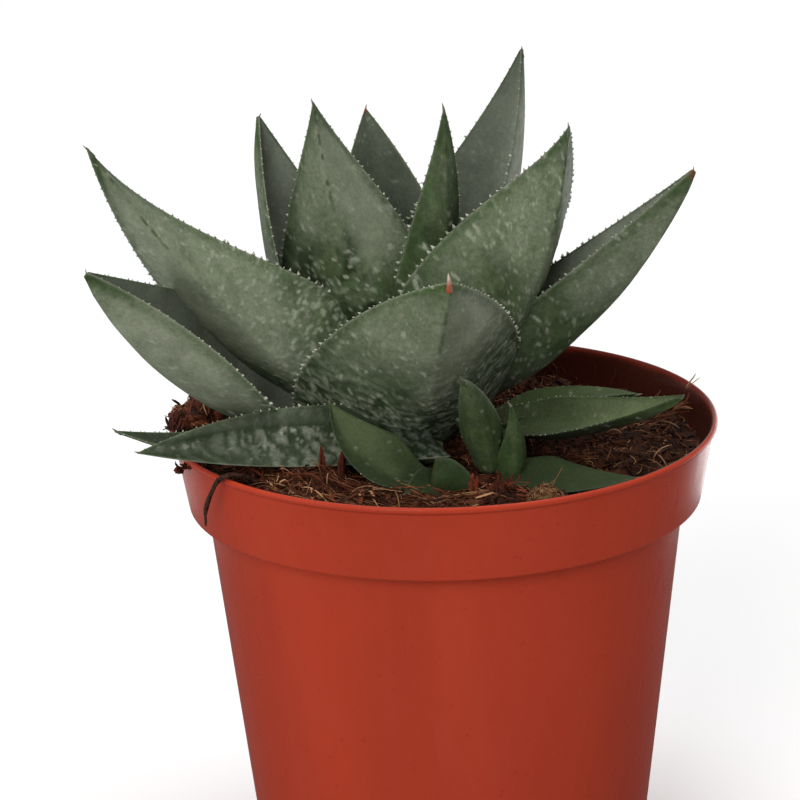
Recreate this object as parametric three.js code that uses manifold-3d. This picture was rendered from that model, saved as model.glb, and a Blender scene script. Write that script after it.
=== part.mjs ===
// A toothed, spotted rosette succulent with three offsets, in a round collared nursery pot.
// Millimetres, +Z up. The origin is the middle of the pot's flat base; the front is towards -Y.
import * as THREE from "three";
import { mergeVertices } from "three/addons/utils/BufferGeometryUtils.js";
import Module from "manifold-3d";

const wasm = await Module();
wasm.setup();

// ---------- Driving dimensions ----------

const GAP = 0.3; // left between pieces that rest on or are cut by each other
const LEAF_GAP = 0.5; // the same for leaves, whose clearing bodies have fewer rings

const POT = {
  height: 92,
  rimRadius: 52.5, // a 10.5 cm pot
  beadHeight: 1.1, // the rounded bead round the top edge
  beadProud: 0.8, // how far the bead stands out of the collar
  edge: 0.4, // rounding of the bead, the lip and the collar's lower edge
  lipRadius: 51.4, // inner edge of the lip
  lipDepth: 2, // the lip is thicker than the collar over this depth
  lipStep: 0.6, // and by this much
  collarHeight: 15.5,
  collarFoot: 49.2, // outer radius at the collar's lower edge
  shelf: 1.6, // height of the sloped step from the collar's inside to the wall's inside
  wallTop: 45.8, // outer radius of the wall just under the collar
  wallFoot: 36.4, // outer radius of the wall at the base
  wall: 1.2,
  floor: 2,
  footChamfer: 1.2,
  sides: 48,
  drainHoles: 6,
  drainRadius: 3.5,
  drainCircle: 24,
  drainSides: 16,
};
const RIM = POT.height; // leaf and soil levels below are given from the rim's top
const COLLAR_BOTTOM = POT.height - POT.collarHeight;

const SOIL = {
  level: -5.2, // mean level, from the rim
  tiltX: -0.035, // the surface falls to the right
  tiltY: -0.03, // and to the back
  waves: [
    { x: 0.31, y: 0.27, phase: 1.3, height: 0.4 },
    { x: 0.31, y: -0.27, phase: 1.3, height: 0.4 },
    { x: 0.7, y: -0.5, phase: 0, height: 0.4 },
  ],
  edgeDrop: 3, // the pot's width is taken this far under the mean level
  sectors: 40,
  rings: [0.2, 0.4, 0.6, 0.8, 1],
};

// Each stem is a short cone: where it stands, its radius at the soil and at the top, its top level.
const STEMS = {
  stem_main: { x: -8, y: 10, foot: 6, top: 2.6, level: 7, depth: 16 },
  stem_offset_left: { x: 0, y: -30, foot: 2.4, top: 1.4, level: -2.5, depth: 10 },
  stem_offset_middle: { x: 9, y: -15, foot: 2.4, top: 1.4, level: -3, depth: 12 },
  stem_offset_low: { x: -2, y: -13, foot: 2.6, top: 1.8, level: -0.6, depth: 12 },
  stem_offset_right: { x: 9, y: -4, foot: 2.4, top: 1.6, level: 1.4, depth: 14 },
};

const STEM = { waist: 0.4, footShare: 0.8, sides: 16 }; // the widest part is at the waist

const TOOTH = { large: 0.9, small: 0.5 };
const BLADE = {
  footShare: 0.35, // share of the length over which the base widens
  footThick: 0.5, // share of the thickness a base of no breadth would have
  cup: 1.4, // how each half blade rises from the midline: 1 is a straight fold
  keel: [2.2, 1.2], // roundness of the underside at base and tip: 1 is a sharp keel
  thinning: 0.9, // share of the thickness that is gone by the tip
  thinningPower: 1.2,
  upper: [-0.55, 0, 0.55], // points across the upper face, as shares of the half breadth
  lower: [0.62, 0, -0.62], // and across the underside
  lastRing: 0.975, // share of the length where the last ring lies, before the tip point
};

// One leaf: heading is the compass angle of its base (0 right, 90 back, 180 left, 270 front) and
// turn how far that swings by the tip; rise is its slope at base and tip; roll is how far the
// blade is turned about its own line, twist what the tip adds; fold is the slope of each half
// blade from the midline, at base and tip; full is how long the blade stays broad; back is how far
// behind its stem the leaf starts.
// A later leaf gives way to the earlier ones, so the listing runs roughly from the heart outwards.
const MAIN = {
  stem: "stem_main", seat: 3.5, back: 0, base: 0.42, footShare: BLADE.footShare, teeth: 12, tooth: TOOTH.large,
};
const MAIN_LEAVES = [
  { name: "leaf_heart", heading: 140, turn: 0, rise: [80, 86], length: 30, half: 4.5, full: 1.7,
    roll: 0, twist: 10, fold: [20, 40], thick: 2.6, level: 5, teeth: 8, tooth: TOOTH.small },
  { name: "leaf_young", heading: 332, turn: -9, rise: [73, 92], length: 57, half: 9.5, full: 1.9,
    roll: 10, twist: 42, fold: [25, 46], thick: 3.6, level: 4.5 },
  { name: "leaf_centre_left", heading: 206, turn: 3, rise: [72, 82], length: 60, half: 17.5, full: 2.3,
    base: 0.6, roll: -66, twist: 5, fold: [3, 66], thick: 5.5, level: 4.5 },
  { name: "leaf_front", heading: 281, turn: 5, rise: [37, 57], length: 58, half: 25, full: 2.5, base: 0.85,
    roll: -9, twist: 14, fold: [14, 37], thick: 7, level: -4.7, back: -2.4 },
  { name: "leaf_back_centre", heading: 102, turn: 5, rise: [68, 70], length: 56, half: 17, full: 2.1,
    roll: -3, twist: 3, fold: [14, 28], thick: 5, level: 1 },
  { name: "leaf_back_left", heading: 169, turn: -10, rise: [47, 92], length: 67.5, half: 17, full: 2.6,
    roll: 14, twist: 6, fold: [20, 46], thick: 5.7, level: -5 },
  { name: "leaf_back_right", heading: 29, turn: 2, rise: [47, 90], length: 69, half: 19, full: 2.15,
    roll: 4, twist: -27, fold: [33, 58], thick: 6, level: 4 },
  { name: "leaf_centre_right", heading: 331, turn: -23, rise: [35, 80], length: 72.5, half: 21, full: 2.5,
    roll: 6, twist: 31, fold: [16, 70], thick: 6.2, level: 0.6, back: 5.7 },
  { name: "leaf_upper_left", heading: 215, turn: -15, rise: [33, 59], length: 89, half: 17, full: 1.95,
    roll: -43, twist: -57, fold: [26, 65], thick: 6.2, level: -2 },
  { name: "leaf_right", heading: 346, turn: -7, rise: [22, 62], length: 76, half: 15.8, full: 2.1,
    roll: -1, twist: -13, fold: [27, 62], thick: 6.3, level: -1.2, back: 7 },
  { name: "leaf_lower_left", heading: 206, turn: 20, rise: [9.5, 57], length: 81.5, half: 20, full: 2.95,
    base: 0.3, footShare: 0.68, roll: 35, twist: -13, fold: [14, 58], thick: 6.5, level: -3.6 },
  { name: "leaf_behind_right", heading: 66, turn: 0, rise: [10, 28], length: 56, half: 15, full: 2.1,
    roll: 0, twist: 0, fold: [18, 40], thick: 6, level: -3 },
  { name: "leaf_behind_left", heading: 128, turn: 0, rise: [8, 22], length: 52, half: 15, full: 2.1,
    roll: 0, twist: 0, fold: [18, 40], thick: 6, level: -4 },
].map((leaf) => ({ ...MAIN, ...leaf }));
const LOW_LEAVES = [
  { name: "leaf_low_left", stem: "stem_offset_low", seat: 0, heading: 203, turn: -2, rise: [9.5, 1.5],
    length: 59.5, half: 9, full: 2.3, base: 0.95, roll: 15, twist: 36, fold: [7, 5], thick: 4.5, level: 0.6 },
  { name: "leaf_low_outer", heading: 219, turn: -6, rise: [-1, 25], length: 64.5, half: 6.5, full: 1.8,
    roll: 23, twist: 20, fold: [14, 19], thick: 3.5, level: -4.5 },
].map((leaf) => ({ ...MAIN, ...leaf }));

const OFFSET = {
  seat: 1.5, back: 0, base: 0.6, footShare: BLADE.footShare, teeth: 7, tooth: TOOTH.small,
};
const RIGHT = { ...OFFSET, stem: "stem_offset_right" };
const MIDDLE = { ...OFFSET, stem: "stem_offset_middle" };
const LEFT = { ...OFFSET, stem: "stem_offset_left" };
const OFFSET_LEAVES = [
  { ...RIGHT, name: "offset_right_long", heading: -20, turn: -30, rise: [3, 31], length: 44.5, half: 6.1,
    full: 1.8, roll: -47, twist: 16, fold: [37, 40], thick: 4.8, level: 0, teeth: 12 },
  { ...RIGHT, name: "offset_right_back", heading: 19, turn: 0, rise: [15, -8], length: 29, half: 5.9,
    full: 1.75, roll: -5, twist: -3, fold: [15, 21], thick: 3.5, level: 0.5 },
  { ...RIGHT, name: "offset_right_dark", heading: 205, turn: -10, rise: [35, 75], length: 15, half: 4,
    full: 1.8, roll: 0, twist: 0, fold: [15, 30], thick: 3, level: -1, teeth: 6 },
  { ...MIDDLE, name: "offset_middle_upright", heading: 241, turn: 11, rise: [78, 42], length: 25,
    half: 4.8, full: 2, roll: -29, twist: -4, fold: [16, 31], thick: 3.5, level: -4.3 },
  { ...MIDDLE, name: "offset_middle_right", heading: 323, turn: 5, rise: [50, 112], length: 19,
    half: 4.5, full: 1.7, roll: 26, twist: 8, fold: [20, 27], thick: 3, level: -9.5, teeth: 6 },
  { ...MIDDLE, name: "offset_middle_low", heading: 310, turn: 60, rise: [2, 4], length: 29, half: 9.2,
    full: 1.75, roll: -9, twist: 0, fold: [9, 6], thick: 3.5, level: -5.5 },
  { ...LEFT, name: "offset_left_boat", heading: 177, turn: -8, rise: [12, 69], length: 27, half: 9.3,
    full: 1.8, base: 0.42, footShare: 0.5, roll: 7, twist: 45, fold: [17, 17], thick: 5, level: -3.9 },
  { ...LEFT, name: "offset_left_front", heading: 222, turn: 0, rise: [18, -12], length: 8.5, half: 4.3,
    full: 1.6, seat: 1.8, base: 0.8, roll: 38, twist: 0, fold: [15, 25], thick: 3, level: -2.8, teeth: 6 },
  { ...LEFT, name: "offset_left_right", heading: 338, turn: 0, rise: [-2, -22], length: 8.5, half: 5.4,
    full: 2.4, seat: -1.5, base: 0.85, roll: 62, twist: 0, fold: [15, 15], thick: 4, level: -2, teeth: 6 },
];

// Loose pieces on the soil: middle, radii and how rough the lump is.
const LUMPS = {
  coir_lump: { at: [-44.5, 7, -1.5], radii: [6.5, 9.5, 5.5], rough: 0.08 },
  peat_ball: { at: [18.5, -38.5, -3.4], radii: [3.4, 3, 2.4], rough: 0.05 },
};
const LUMP_WAVES = [
  { x: 5, y: 4, z: 2 },
  { x: 5, y: -4, z: 2 },
  { x: 7, y: 0, z: 9 },
];
// The twig's line: compass angle, distance out of the pot's rim, level.
const TWIG = {
  radius: 0.45,
  steps: 18,
  sides: 6,
  line: [
    [222, -7, -2],
    [221, -3.5, 0.2],
    [220, -0.5, 0.95],
    [218.5, 1.1, 0],
    [216, 1.3, -3.2],
    [213.5, 1.1, -7],
    [212.5, 0.7, -10.5],
  ],
};

const COLOUR = {
  pot: 0xa63f2b,
  soil: 0x5a2d18,
  stem: 0x6d7a4e,
  leaf: 0x66735f,
  offset: 0x3f5a3a,
  coir: 0x7a3d1c,
  peat: 0x6b5a35,
  twig: 0x1f1714,
};

// ---------- Small helpers ----------

const rad = THREE.MathUtils.degToRad;
const mix = THREE.MathUtils.lerp;
const smooth = (x) => THREE.MathUtils.smoothstep(x, 0, 1);

function toSolid(geometry) {
  const bare = geometry.index ? geometry.toNonIndexed() : geometry.clone();
  bare.deleteAttribute("normal");
  bare.deleteAttribute("uv");
  const merged = mergeVertices(bare, 1e-4);
  return new wasm.Manifold(
    new wasm.Mesh({
      numProp: 3,
      vertProperties: new Float32Array(merged.attributes.position.array),
      triVerts: new Uint32Array(merged.index.array),
    }),
  );
}

function toGeometry(solid) {
  const mesh = solid.getMesh();
  const geometry = new THREE.BufferGeometry();
  geometry.setAttribute("position", new THREE.BufferAttribute(new Float32Array(mesh.vertProperties), 3));
  geometry.setIndex(new THREE.BufferAttribute(new Uint32Array(mesh.triVerts), 1));
  geometry.computeVertexNormals();
  return geometry;
}

// The biggest body of a cut solid; crumbs that a cut leaves behind are dropped.
function largest(solid) {
  return solid.decompose().reduce((a, b) => (a.volume() > b.volume() ? a : b));
}

// A closed skin over rings of equally many points, with a point closing each end.
function skin(rings, first, last) {
  const sides = rings[0].length;
  const points = [first, ...rings.flat(), last];
  const at = (ring, side) => 1 + ring * sides + (side % sides);
  const faces = [];
  for (let i = 0; i < sides; i++) {
    faces.push(0, at(0, i + 1), at(0, i));
    faces.push(points.length - 1, at(rings.length - 1, i), at(rings.length - 1, i + 1));
  }
  for (let r = 0; r + 1 < rings.length; r++)
    for (let i = 0; i < sides; i++) {
      faces.push(at(r, i), at(r, i + 1), at(r + 1, i));
      faces.push(at(r, i + 1), at(r + 1, i + 1), at(r + 1, i));
    }
  const geometry = new THREE.BufferGeometry().setFromPoints(points);
  geometry.setIndex(faces);
  return geometry;
}

// ---------- Leaves ----------

// The leaf's own frame at a share s of its length: a point on its line, and the directions
// across the blade (side) and out of its upper face (up).
function leafFrames(leaf, count) {
  const stem = STEMS[leaf.stem];
  const heading = rad(leaf.heading);
  const point = new THREE.Vector3(
    stem.x + leaf.seat * Math.cos(heading),
    stem.y + leaf.seat * Math.sin(heading) + leaf.back,
    RIM + leaf.level,
  );
  const along = (s) => {
    const a = rad(leaf.heading + leaf.turn * s);
    const r = rad(mix(leaf.rise[0], leaf.rise[1], s));
    return {
      ahead: new THREE.Vector3(Math.cos(r) * Math.cos(a), Math.cos(r) * Math.sin(a), Math.sin(r)),
      up: new THREE.Vector3(-Math.sin(r) * Math.cos(a), -Math.sin(r) * Math.sin(a), Math.cos(r)),
    };
  };
  const frames = [];
  for (let i = 0; i < count; i++) {
    const s = i / (count - 1);
    const { ahead, up } = along(s);
    const side = new THREE.Vector3().crossVectors(ahead, up);
    const roll = rad(leaf.roll + leaf.twist * s);
    side.applyAxisAngle(ahead, -roll);
    up.applyAxisAngle(ahead, -roll);
    if (i) point.addScaledVector(along(s - 0.5 / (count - 1)).ahead, leaf.length / (count - 1));
    frames.push({ s, point: point.clone(), ahead, side, up });
  }
  return frames;
}

// The closed leaf body. With grow it is a smooth, slightly larger body, used to clear neighbours.
function leafBody(leaf, grow = 0) {
  const count = grow ? leaf.teeth + 3 : 2 * leaf.teeth + 2;
  const frames = leafFrames(leaf, count);
  const ringAt = (frame, index) => {
    const s = Math.min(frame.s, BLADE.lastRing);
    const foot = mix(leaf.base, 1, smooth(s / leaf.footShare));
    const half = leaf.half * (1 - s ** leaf.full) * foot;
    const tooth = leaf.tooth * Math.min(1, half / (3 * leaf.tooth));
    const edge = 1 + (grow ? grow + tooth : index % 2 ? tooth : 0) / half;
    const fold = rad(mix(leaf.fold[0], leaf.fold[1], s));
    const thinned = 1 - BLADE.thinning * s ** BLADE.thinningPower;
    const thick = leaf.thick * thinned * mix(BLADE.footThick, 1, foot);
    const keel = mix(BLADE.keel[0], BLADE.keel[1], s);
    const lift = grow / Math.cos(fold);
    const place = (u, drop) =>
      frame.point
        .clone()
        .addScaledVector(frame.side, u * half * Math.cos(fold))
        .addScaledVector(frame.up, half * Math.sin(fold) * Math.abs(u) ** BLADE.cup - drop);
    return [
      place(-edge, 0),
      ...BLADE.upper.map((u) => place(u, -lift)),
      place(edge, 0),
      ...BLADE.lower.map((u) => place(u, thick * (1 - Math.abs(u) ** keel) + lift)),
    ];
  };
  const rings = frames.slice(0, -1).map(ringAt);
  const middle = rings[0].reduce((sum, p) => sum.add(p), new THREE.Vector3()).divideScalar(rings[0].length);
  const end = frames[count - 1];
  const first = middle.addScaledVector(frames[0].ahead, -grow);
  const last = end.point.clone().addScaledVector(end.ahead, grow * 2);
  return toSolid(skin(rings, first, last));
}

// ---------- Pot ----------

// With grow it is the same pot with thicker walls and no holes, used to clear what stands in it.
function potBody(grow = 0) {
  const top = POT.height;
  const beadFoot = top - POT.beadHeight;
  const profile = [
    [0, 0],
    [POT.wallFoot - POT.footChamfer, 0],
    [POT.wallFoot, POT.footChamfer],
    [POT.wallTop, COLLAR_BOTTOM],
    [POT.collarFoot - POT.edge, COLLAR_BOTTOM],
    [POT.collarFoot, COLLAR_BOTTOM + POT.edge],
    [POT.rimRadius - POT.beadProud, beadFoot - POT.edge],
    [POT.rimRadius + grow, beadFoot],
    [POT.rimRadius + grow, top - POT.edge + grow],
    [POT.rimRadius - POT.edge, top + grow],
    [POT.lipRadius + POT.edge, top + grow],
    [POT.lipRadius - grow, top - POT.edge + grow],
    [POT.lipRadius - POT.lipStep - grow, top - POT.lipDepth],
    [POT.collarFoot - POT.wall - grow, COLLAR_BOTTOM + POT.shelf],
    [POT.wallTop - POT.wall - grow, COLLAR_BOTTOM],
    [POT.wallFoot - POT.wall - grow, POT.floor + grow],
    [0, POT.floor + grow],
  ].map(([r, z]) => new THREE.Vector2(r, z));
  // A lathe turns about Y, so the pot is stood up on Z.
  let body = toSolid(new THREE.LatheGeometry(profile, POT.sides).rotateX(Math.PI / 2));
  for (let i = 0; i < (grow ? 0 : POT.drainHoles); i++) {
    const a = (2 * Math.PI * (i + 0.5)) / POT.drainHoles;
    const hole = new THREE.CylinderGeometry(POT.drainRadius, POT.drainRadius, 3 * POT.floor, POT.drainSides);
    hole.rotateX(Math.PI / 2);
    hole.translate(POT.drainCircle * Math.cos(a), POT.drainCircle * Math.sin(a), POT.floor / 2);
    body = body.subtract(toSolid(hole));
  }
  return body;
}

// Inner radius of the pot at a level, up to the lip.
function potInside(z) {
  const wall = (share) => mix(POT.wallFoot, POT.wallTop, share) - POT.wall;
  const collarFoot = POT.collarFoot - POT.wall;
  if (z <= COLLAR_BOTTOM) return wall((z - POT.floor) / (COLLAR_BOTTOM - POT.floor));
  const above = z - COLLAR_BOTTOM;
  if (above < POT.shelf) return mix(wall(1), collarFoot, above / POT.shelf);
  const share = (above - POT.shelf) / (POT.collarHeight - POT.lipDepth - POT.shelf);
  return mix(collarFoot, POT.lipRadius - POT.lipStep, Math.min(share, 1));
}

// ---------- Soil and what lies on it ----------

function soilLevel(x, y) {
  const mean = RIM + SOIL.level + SOIL.tiltX * x + SOIL.tiltY * y;
  const swell = (wave) => wave.height * Math.sin(wave.x * x + wave.y * y + wave.phase);
  return SOIL.waves.reduce((z, wave) => z + swell(wave), mean);
}

function soilBody(grow = 0) {
  const turn = (i) => (2 * Math.PI * i) / SOIL.sectors;
  const ring = (radius, level) =>
    Array.from({ length: SOIL.sectors }, (_, i) => {
      const x = radius * Math.cos(turn(i));
      const y = radius * Math.sin(turn(i));
      return new THREE.Vector3(x, y, level ?? soilLevel(x, y) + grow);
    });
  const wallRing = (z) => ring(potInside(z) - GAP + grow, z);
  const bottom = POT.floor + GAP;
  const edge = potInside(RIM + SOIL.level - SOIL.edgeDrop) - GAP + grow;
  const rings = [wallRing(bottom), wallRing(COLLAR_BOTTOM), wallRing(COLLAR_BOTTOM + POT.shelf)];
  rings.push(...SOIL.rings.map((share) => ring(edge * share)).reverse());
  const first = new THREE.Vector3(0, 0, bottom);
  const last = new THREE.Vector3(0, 0, soilLevel(0, 0) + grow);
  return toSolid(skin(rings, first, last));
}

function stemBody(stem, grow = 0) {
  const top = RIM + stem.level + grow;
  const bottom = top - stem.depth - 2 * grow;
  const profile = [
    [0, bottom],
    [stem.foot * STEM.footShare + grow, bottom],
    [stem.foot + grow, mix(bottom, top, STEM.waist)],
    [stem.top + grow, top],
    [0, top],
  ].map(([r, z]) => new THREE.Vector2(r, z));
  const cone = new THREE.LatheGeometry(profile, STEM.sides).rotateX(Math.PI / 2);
  return toSolid(cone.translate(stem.x, stem.y, 0));
}

function lumpBody({ at, radii, rough }, grow = 0) {
  const geometry = new THREE.IcosahedronGeometry(1, 2);
  const positions = geometry.getAttribute("position");
  const p = new THREE.Vector3();
  for (let i = 0; i < positions.count; i++) {
    p.fromBufferAttribute(positions, i);
    const swell = (wave) => Math.sin(wave.x * p.x + wave.y * p.y + wave.z * p.z);
    p.multiplyScalar(1 + rough * LUMP_WAVES.reduce((sum, wave) => sum + swell(wave), 0));
    positions.setXYZ(i, p.x * (radii[0] + grow), p.y * (radii[1] + grow), p.z * (radii[2] + grow));
  }
  return toSolid(geometry.translate(at[0], at[1], RIM + at[2]));
}

// A dark twig that lies on the soil, crosses the rim at the front left and hangs down outside.
function twigBody(grow = 0) {
  const points = TWIG.line.map(([degrees, out, level]) => {
    const radius = POT.rimRadius + out;
    return new THREE.Vector3(radius * Math.cos(rad(degrees)), radius * Math.sin(rad(degrees)), RIM + level);
  });
  const path = new THREE.CatmullRomCurve3(points);
  const section = new THREE.Shape(
    Array.from({ length: TWIG.sides }, (_, i) => {
      const a = (2 * Math.PI * i) / TWIG.sides;
      return new THREE.Vector2((TWIG.radius + grow) * Math.cos(a), (TWIG.radius + grow) * Math.sin(a));
    }),
  );
  return toSolid(new THREE.ExtrudeGeometry(section, { steps: TWIG.steps, extrudePath: path }));
}

// ---------- Assembly ----------

const group = new THREE.Group();
group.name = "potted_rosette_succulent";

function addMesh(name, solid, color, roughness) {
  const mesh = new THREE.Mesh(
    toGeometry(solid),
    new THREE.MeshStandardMaterial({ color, roughness, metalness: 0 }),
  );
  mesh.name = name;
  group.add(mesh);
}

const clearances = []; // what later pieces keep clear of
function fit(name, make, color, roughness, gap = GAP) {
  const body = clearances.reduce((solid, other) => solid.subtract(other), make(0));
  addMesh(name, largest(body), color, roughness);
  clearances.push(make(gap));
}

for (const [name, stem] of Object.entries(STEMS))
  fit(name, (grow) => stemBody(stem, grow), COLOUR.stem, 0.7);
fit("soil", soilBody, COLOUR.soil, 0.95);
addMesh("pot", potBody(), COLOUR.pot, 0.42);
clearances.push(potBody(GAP));
for (const leaf of MAIN_LEAVES)
  fit(leaf.name, (grow) => leafBody(leaf, grow), COLOUR.leaf, 0.55, LEAF_GAP);
for (const leaf of OFFSET_LEAVES)
  fit(leaf.name, (grow) => leafBody(leaf, grow), COLOUR.offset, 0.5, LEAF_GAP);
for (const leaf of LOW_LEAVES)
  fit(leaf.name, (grow) => leafBody(leaf, grow), COLOUR.leaf, 0.55, LEAF_GAP);
fit("rim_twig", twigBody, COLOUR.twig, 0.8);
fit("coir_lump", (grow) => lumpBody(LUMPS.coir_lump, grow), COLOUR.coir, 0.95);
fit("peat_ball", (grow) => lumpBody(LUMPS.peat_ball, grow), COLOUR.peat, 0.95);

export default group;
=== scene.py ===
"""A spotted, toothed rosette succulent with three young offsets, in a collared nursery pot.

Metres, +Z up, the front towards -Y, the origin in the middle of the pot's flat base. Every leaf
repeats the solid model's own form in a much finer mesh, with the relief, pale spots, marginal
teeth and tip spines of the living plant. Forms are worked out in millimetres from the same
values as the solids and turned into metres where a mesh is made.
"""

import logging
import math
from dataclasses import dataclass, replace
from enum import Enum

import bpy
import numpy as np
from bpy.types import Material, Mesh, NodeSocket, NodeTree, Object
from mathutils import Matrix, Vector


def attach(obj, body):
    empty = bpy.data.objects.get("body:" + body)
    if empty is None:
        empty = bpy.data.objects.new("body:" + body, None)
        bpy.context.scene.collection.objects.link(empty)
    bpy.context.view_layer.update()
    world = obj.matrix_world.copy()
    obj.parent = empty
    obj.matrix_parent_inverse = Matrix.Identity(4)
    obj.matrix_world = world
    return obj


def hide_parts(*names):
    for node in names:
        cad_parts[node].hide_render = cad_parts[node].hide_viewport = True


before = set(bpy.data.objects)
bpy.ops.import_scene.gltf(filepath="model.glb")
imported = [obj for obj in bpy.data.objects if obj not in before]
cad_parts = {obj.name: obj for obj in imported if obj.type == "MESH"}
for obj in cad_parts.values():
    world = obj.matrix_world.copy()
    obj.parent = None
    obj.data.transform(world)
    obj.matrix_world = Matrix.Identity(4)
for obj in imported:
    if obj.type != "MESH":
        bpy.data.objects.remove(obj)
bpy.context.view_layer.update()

LOG = logging.getLogger("succulent")
MM = 0.001
BODY = "root"  # the part has no joints, so every piece rides on its one body
RIM = 92.0  # level of the pot's rim; leaf and soil levels are given from it
INSIDE = 50.0  # how far from the axis loose fibres may reach inside the rim
Array = np.ndarray
Numbers = float | Array


# ---------------------------------------------------------------- names


class Slot(Enum):
    """The material slots."""

    POT = "pot"
    SOIL = "soil"
    COIR = "coir"
    STEM = "stem"
    LEAF = "leaf"
    OFFSET = "offset_leaf"
    TWIG = "twig"
    PEAT = "peat"


class Tip(Enum):
    """How a leaf ends: length and foot radius of its spine in millimetres, and its colours."""

    HAIR = (0.9, 0.3, (0.10, 0.115, 0.07), (0.16, 0.13, 0.09))
    SPINE = (2.6, 0.62, (0.42, 0.10, 0.045), (0.75, 0.62, 0.52))
    BROWN = (1.0, 0.28, (0.13, 0.055, 0.03), (0.30, 0.12, 0.06))


# ---------------------------------------------------------------- meshes


def mix(a: Numbers, b: Numbers, share: Numbers) -> Numbers:
    """Return the value that lies share of the way from a to b."""
    return a + (b - a) * share


def smooth(x: Numbers, low: Numbers, high: Numbers) -> Array:
    """Return 0 below low, 1 above high and a smooth step between them."""
    t = np.clip((np.asarray(x, float) - low) / (high - low), 0, 1)
    return t * t * (3 - 2 * t)


def full_turn(count: int) -> Array:
    """Return angles that divide a full turn evenly, in radians."""
    return 2 * np.pi * np.arange(count) / count


def pointing(heading: Array, rise: Array) -> Array:
    """Return the directions of some headings and rises in radians, one row each."""
    return np.stack([np.cos(rise) * np.cos(heading), np.cos(rise) * np.sin(heading), np.sin(rise)], -1)


def tapered(t: Array) -> Array:
    """Return the girth of a fibre at shares of its length, thinner towards both ends."""
    return 1 - 0.6 * np.abs(2 * t - 1) ** 4


class Lattice:
    """Smooth seeded noise in three directions, between -1 and 1."""

    SIZE = 32

    def __init__(self, seed: int) -> None:
        """Fill the lattice.

        Args:
            seed: What the noise is drawn from.
        """
        self.values = np.random.default_rng(seed).uniform(-1, 1, (self.SIZE,) * 3)

    def at(self, x: Array, y: Array, z: Numbers = 0.0) -> Array:
        """Return the noise at points whose lattice step is 1.

        Args:
            x: First coordinate.
            y: Second coordinate.
            z: Third coordinate.

        Returns:
            The noise, in the shape of the coordinates.
        """
        points = np.stack(np.broadcast_arrays(x, y, z)).astype(float)
        cell = np.floor(points).astype(int)
        share = points - cell
        share = share * share * (3 - 2 * share)
        total = np.zeros(points.shape[1:])
        for corner in np.ndindex(2, 2, 2):
            weight = np.ones(points.shape[1:])
            for axis in range(3):
                weight = weight * (share[axis] if corner[axis] else 1 - share[axis])
            index = [(cell[axis] + corner[axis]) % self.SIZE for axis in range(3)]
            total += weight * self.values[index[0], index[1], index[2]]
        return total

    def rough(self, x: Array, y: Array, z: Numbers, octaves: int) -> Array:
        """Return noise with finer and finer detail laid over it.

        Args:
            x: First coordinate.
            y: Second coordinate.
            z: Third coordinate.
            octaves: How many layers there are, each twice as fine and half as strong.

        Returns:
            The noise, in the shape of the coordinates.
        """
        layers = (self.at(x * 2**i + 5 * i, y * 2**i, z * 2**i) / 2**i for i in range(octaves))
        return sum(layers)

def keep_numbers(mesh: Mesh, name: str, numbers: Array) -> None:
    """Keep a number or a vector for each vertex on a mesh."""
    vector = numbers.ndim == 2
    layer = mesh.attributes.new(name, "FLOAT_VECTOR" if vector else "FLOAT", "POINT")
    layer.data.foreach_set("vector" if vector else "value", numbers.astype(np.float32).ravel())


def build_mesh(
    name: str,
    points: Array,
    quads: Array,
    triangles: Array,
    values: dict[str, Array],
    chart: Array | None = None,
) -> Mesh:
    """Make a smooth-shaded mesh.

    Args:
        name: The mesh's name.
        points: Vertices in millimetres, one row each.
        quads: Four-sided faces.
        triangles: Three-sided faces.
        values: Numbers or vectors kept at the vertices, by name.
        chart: Flat coordinates of the vertices in metres, kept as the UV map "blade".

    Returns:
        The mesh, in metres.
    """
    mesh = bpy.data.meshes.new(name)
    loops = np.concatenate([quads.ravel(), triangles.ravel()]).astype(np.int32)
    starts = np.concatenate([np.arange(len(quads)) * 4, quads.size + np.arange(len(triangles)) * 3])
    mesh.vertices.add(len(points))
    mesh.vertices.foreach_set("co", (points * MM).astype(np.float32).ravel())
    mesh.loops.add(len(loops))
    mesh.loops.foreach_set("vertex_index", loops)
    mesh.polygons.add(len(starts))
    mesh.polygons.foreach_set("loop_start", starts.astype(np.int32))
    mesh.update(calc_edges=True)
    for key, numbers in values.items():
        keep_numbers(mesh, key, numbers)
    if chart is not None:
        layer = mesh.uv_layers.new(name="blade")
        layer.data.foreach_set("uv", chart[loops].astype(np.float32).ravel())
    mesh.validate()
    mesh.shade_smooth()
    return mesh


def skin_faces(rings: int, sides: int) -> Array:
    """Return the quads of a closed skin over rings of equally many points, faces outwards.

    Args:
        rings: How many rings there are.
        sides: How many points a ring has, counter-clockwise when seen against the way it grows.

    Returns:
        The quads, one row each.
    """
    ring, side = np.meshgrid(np.arange(rings - 1), np.arange(sides), indexing="ij")
    after = (side + 1) % sides
    ahead = ring + 1
    corners = (ring * sides + side, ring * sides + after, ahead * sides + after, ahead * sides + side)
    return np.stack(corners, -1).reshape(-1, 4)


def cap_faces(first: int, sides: int, centre: int, outward: bool) -> Array:
    """Return the triangles that close a ring with a point.

    Args:
        first: Index of the ring's first point.
        sides: How many points the ring has.
        centre: Index of the closing point.
        outward: Whether the cap looks the way the rings grow.

    Returns:
        The triangles, one row each.
    """
    side = np.arange(sides)
    after = (side + 1) % sides
    pair = (first + side, first + after) if outward else (first + after, first + side)
    return np.stack([np.full(sides, centre), *pair], -1)


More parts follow.
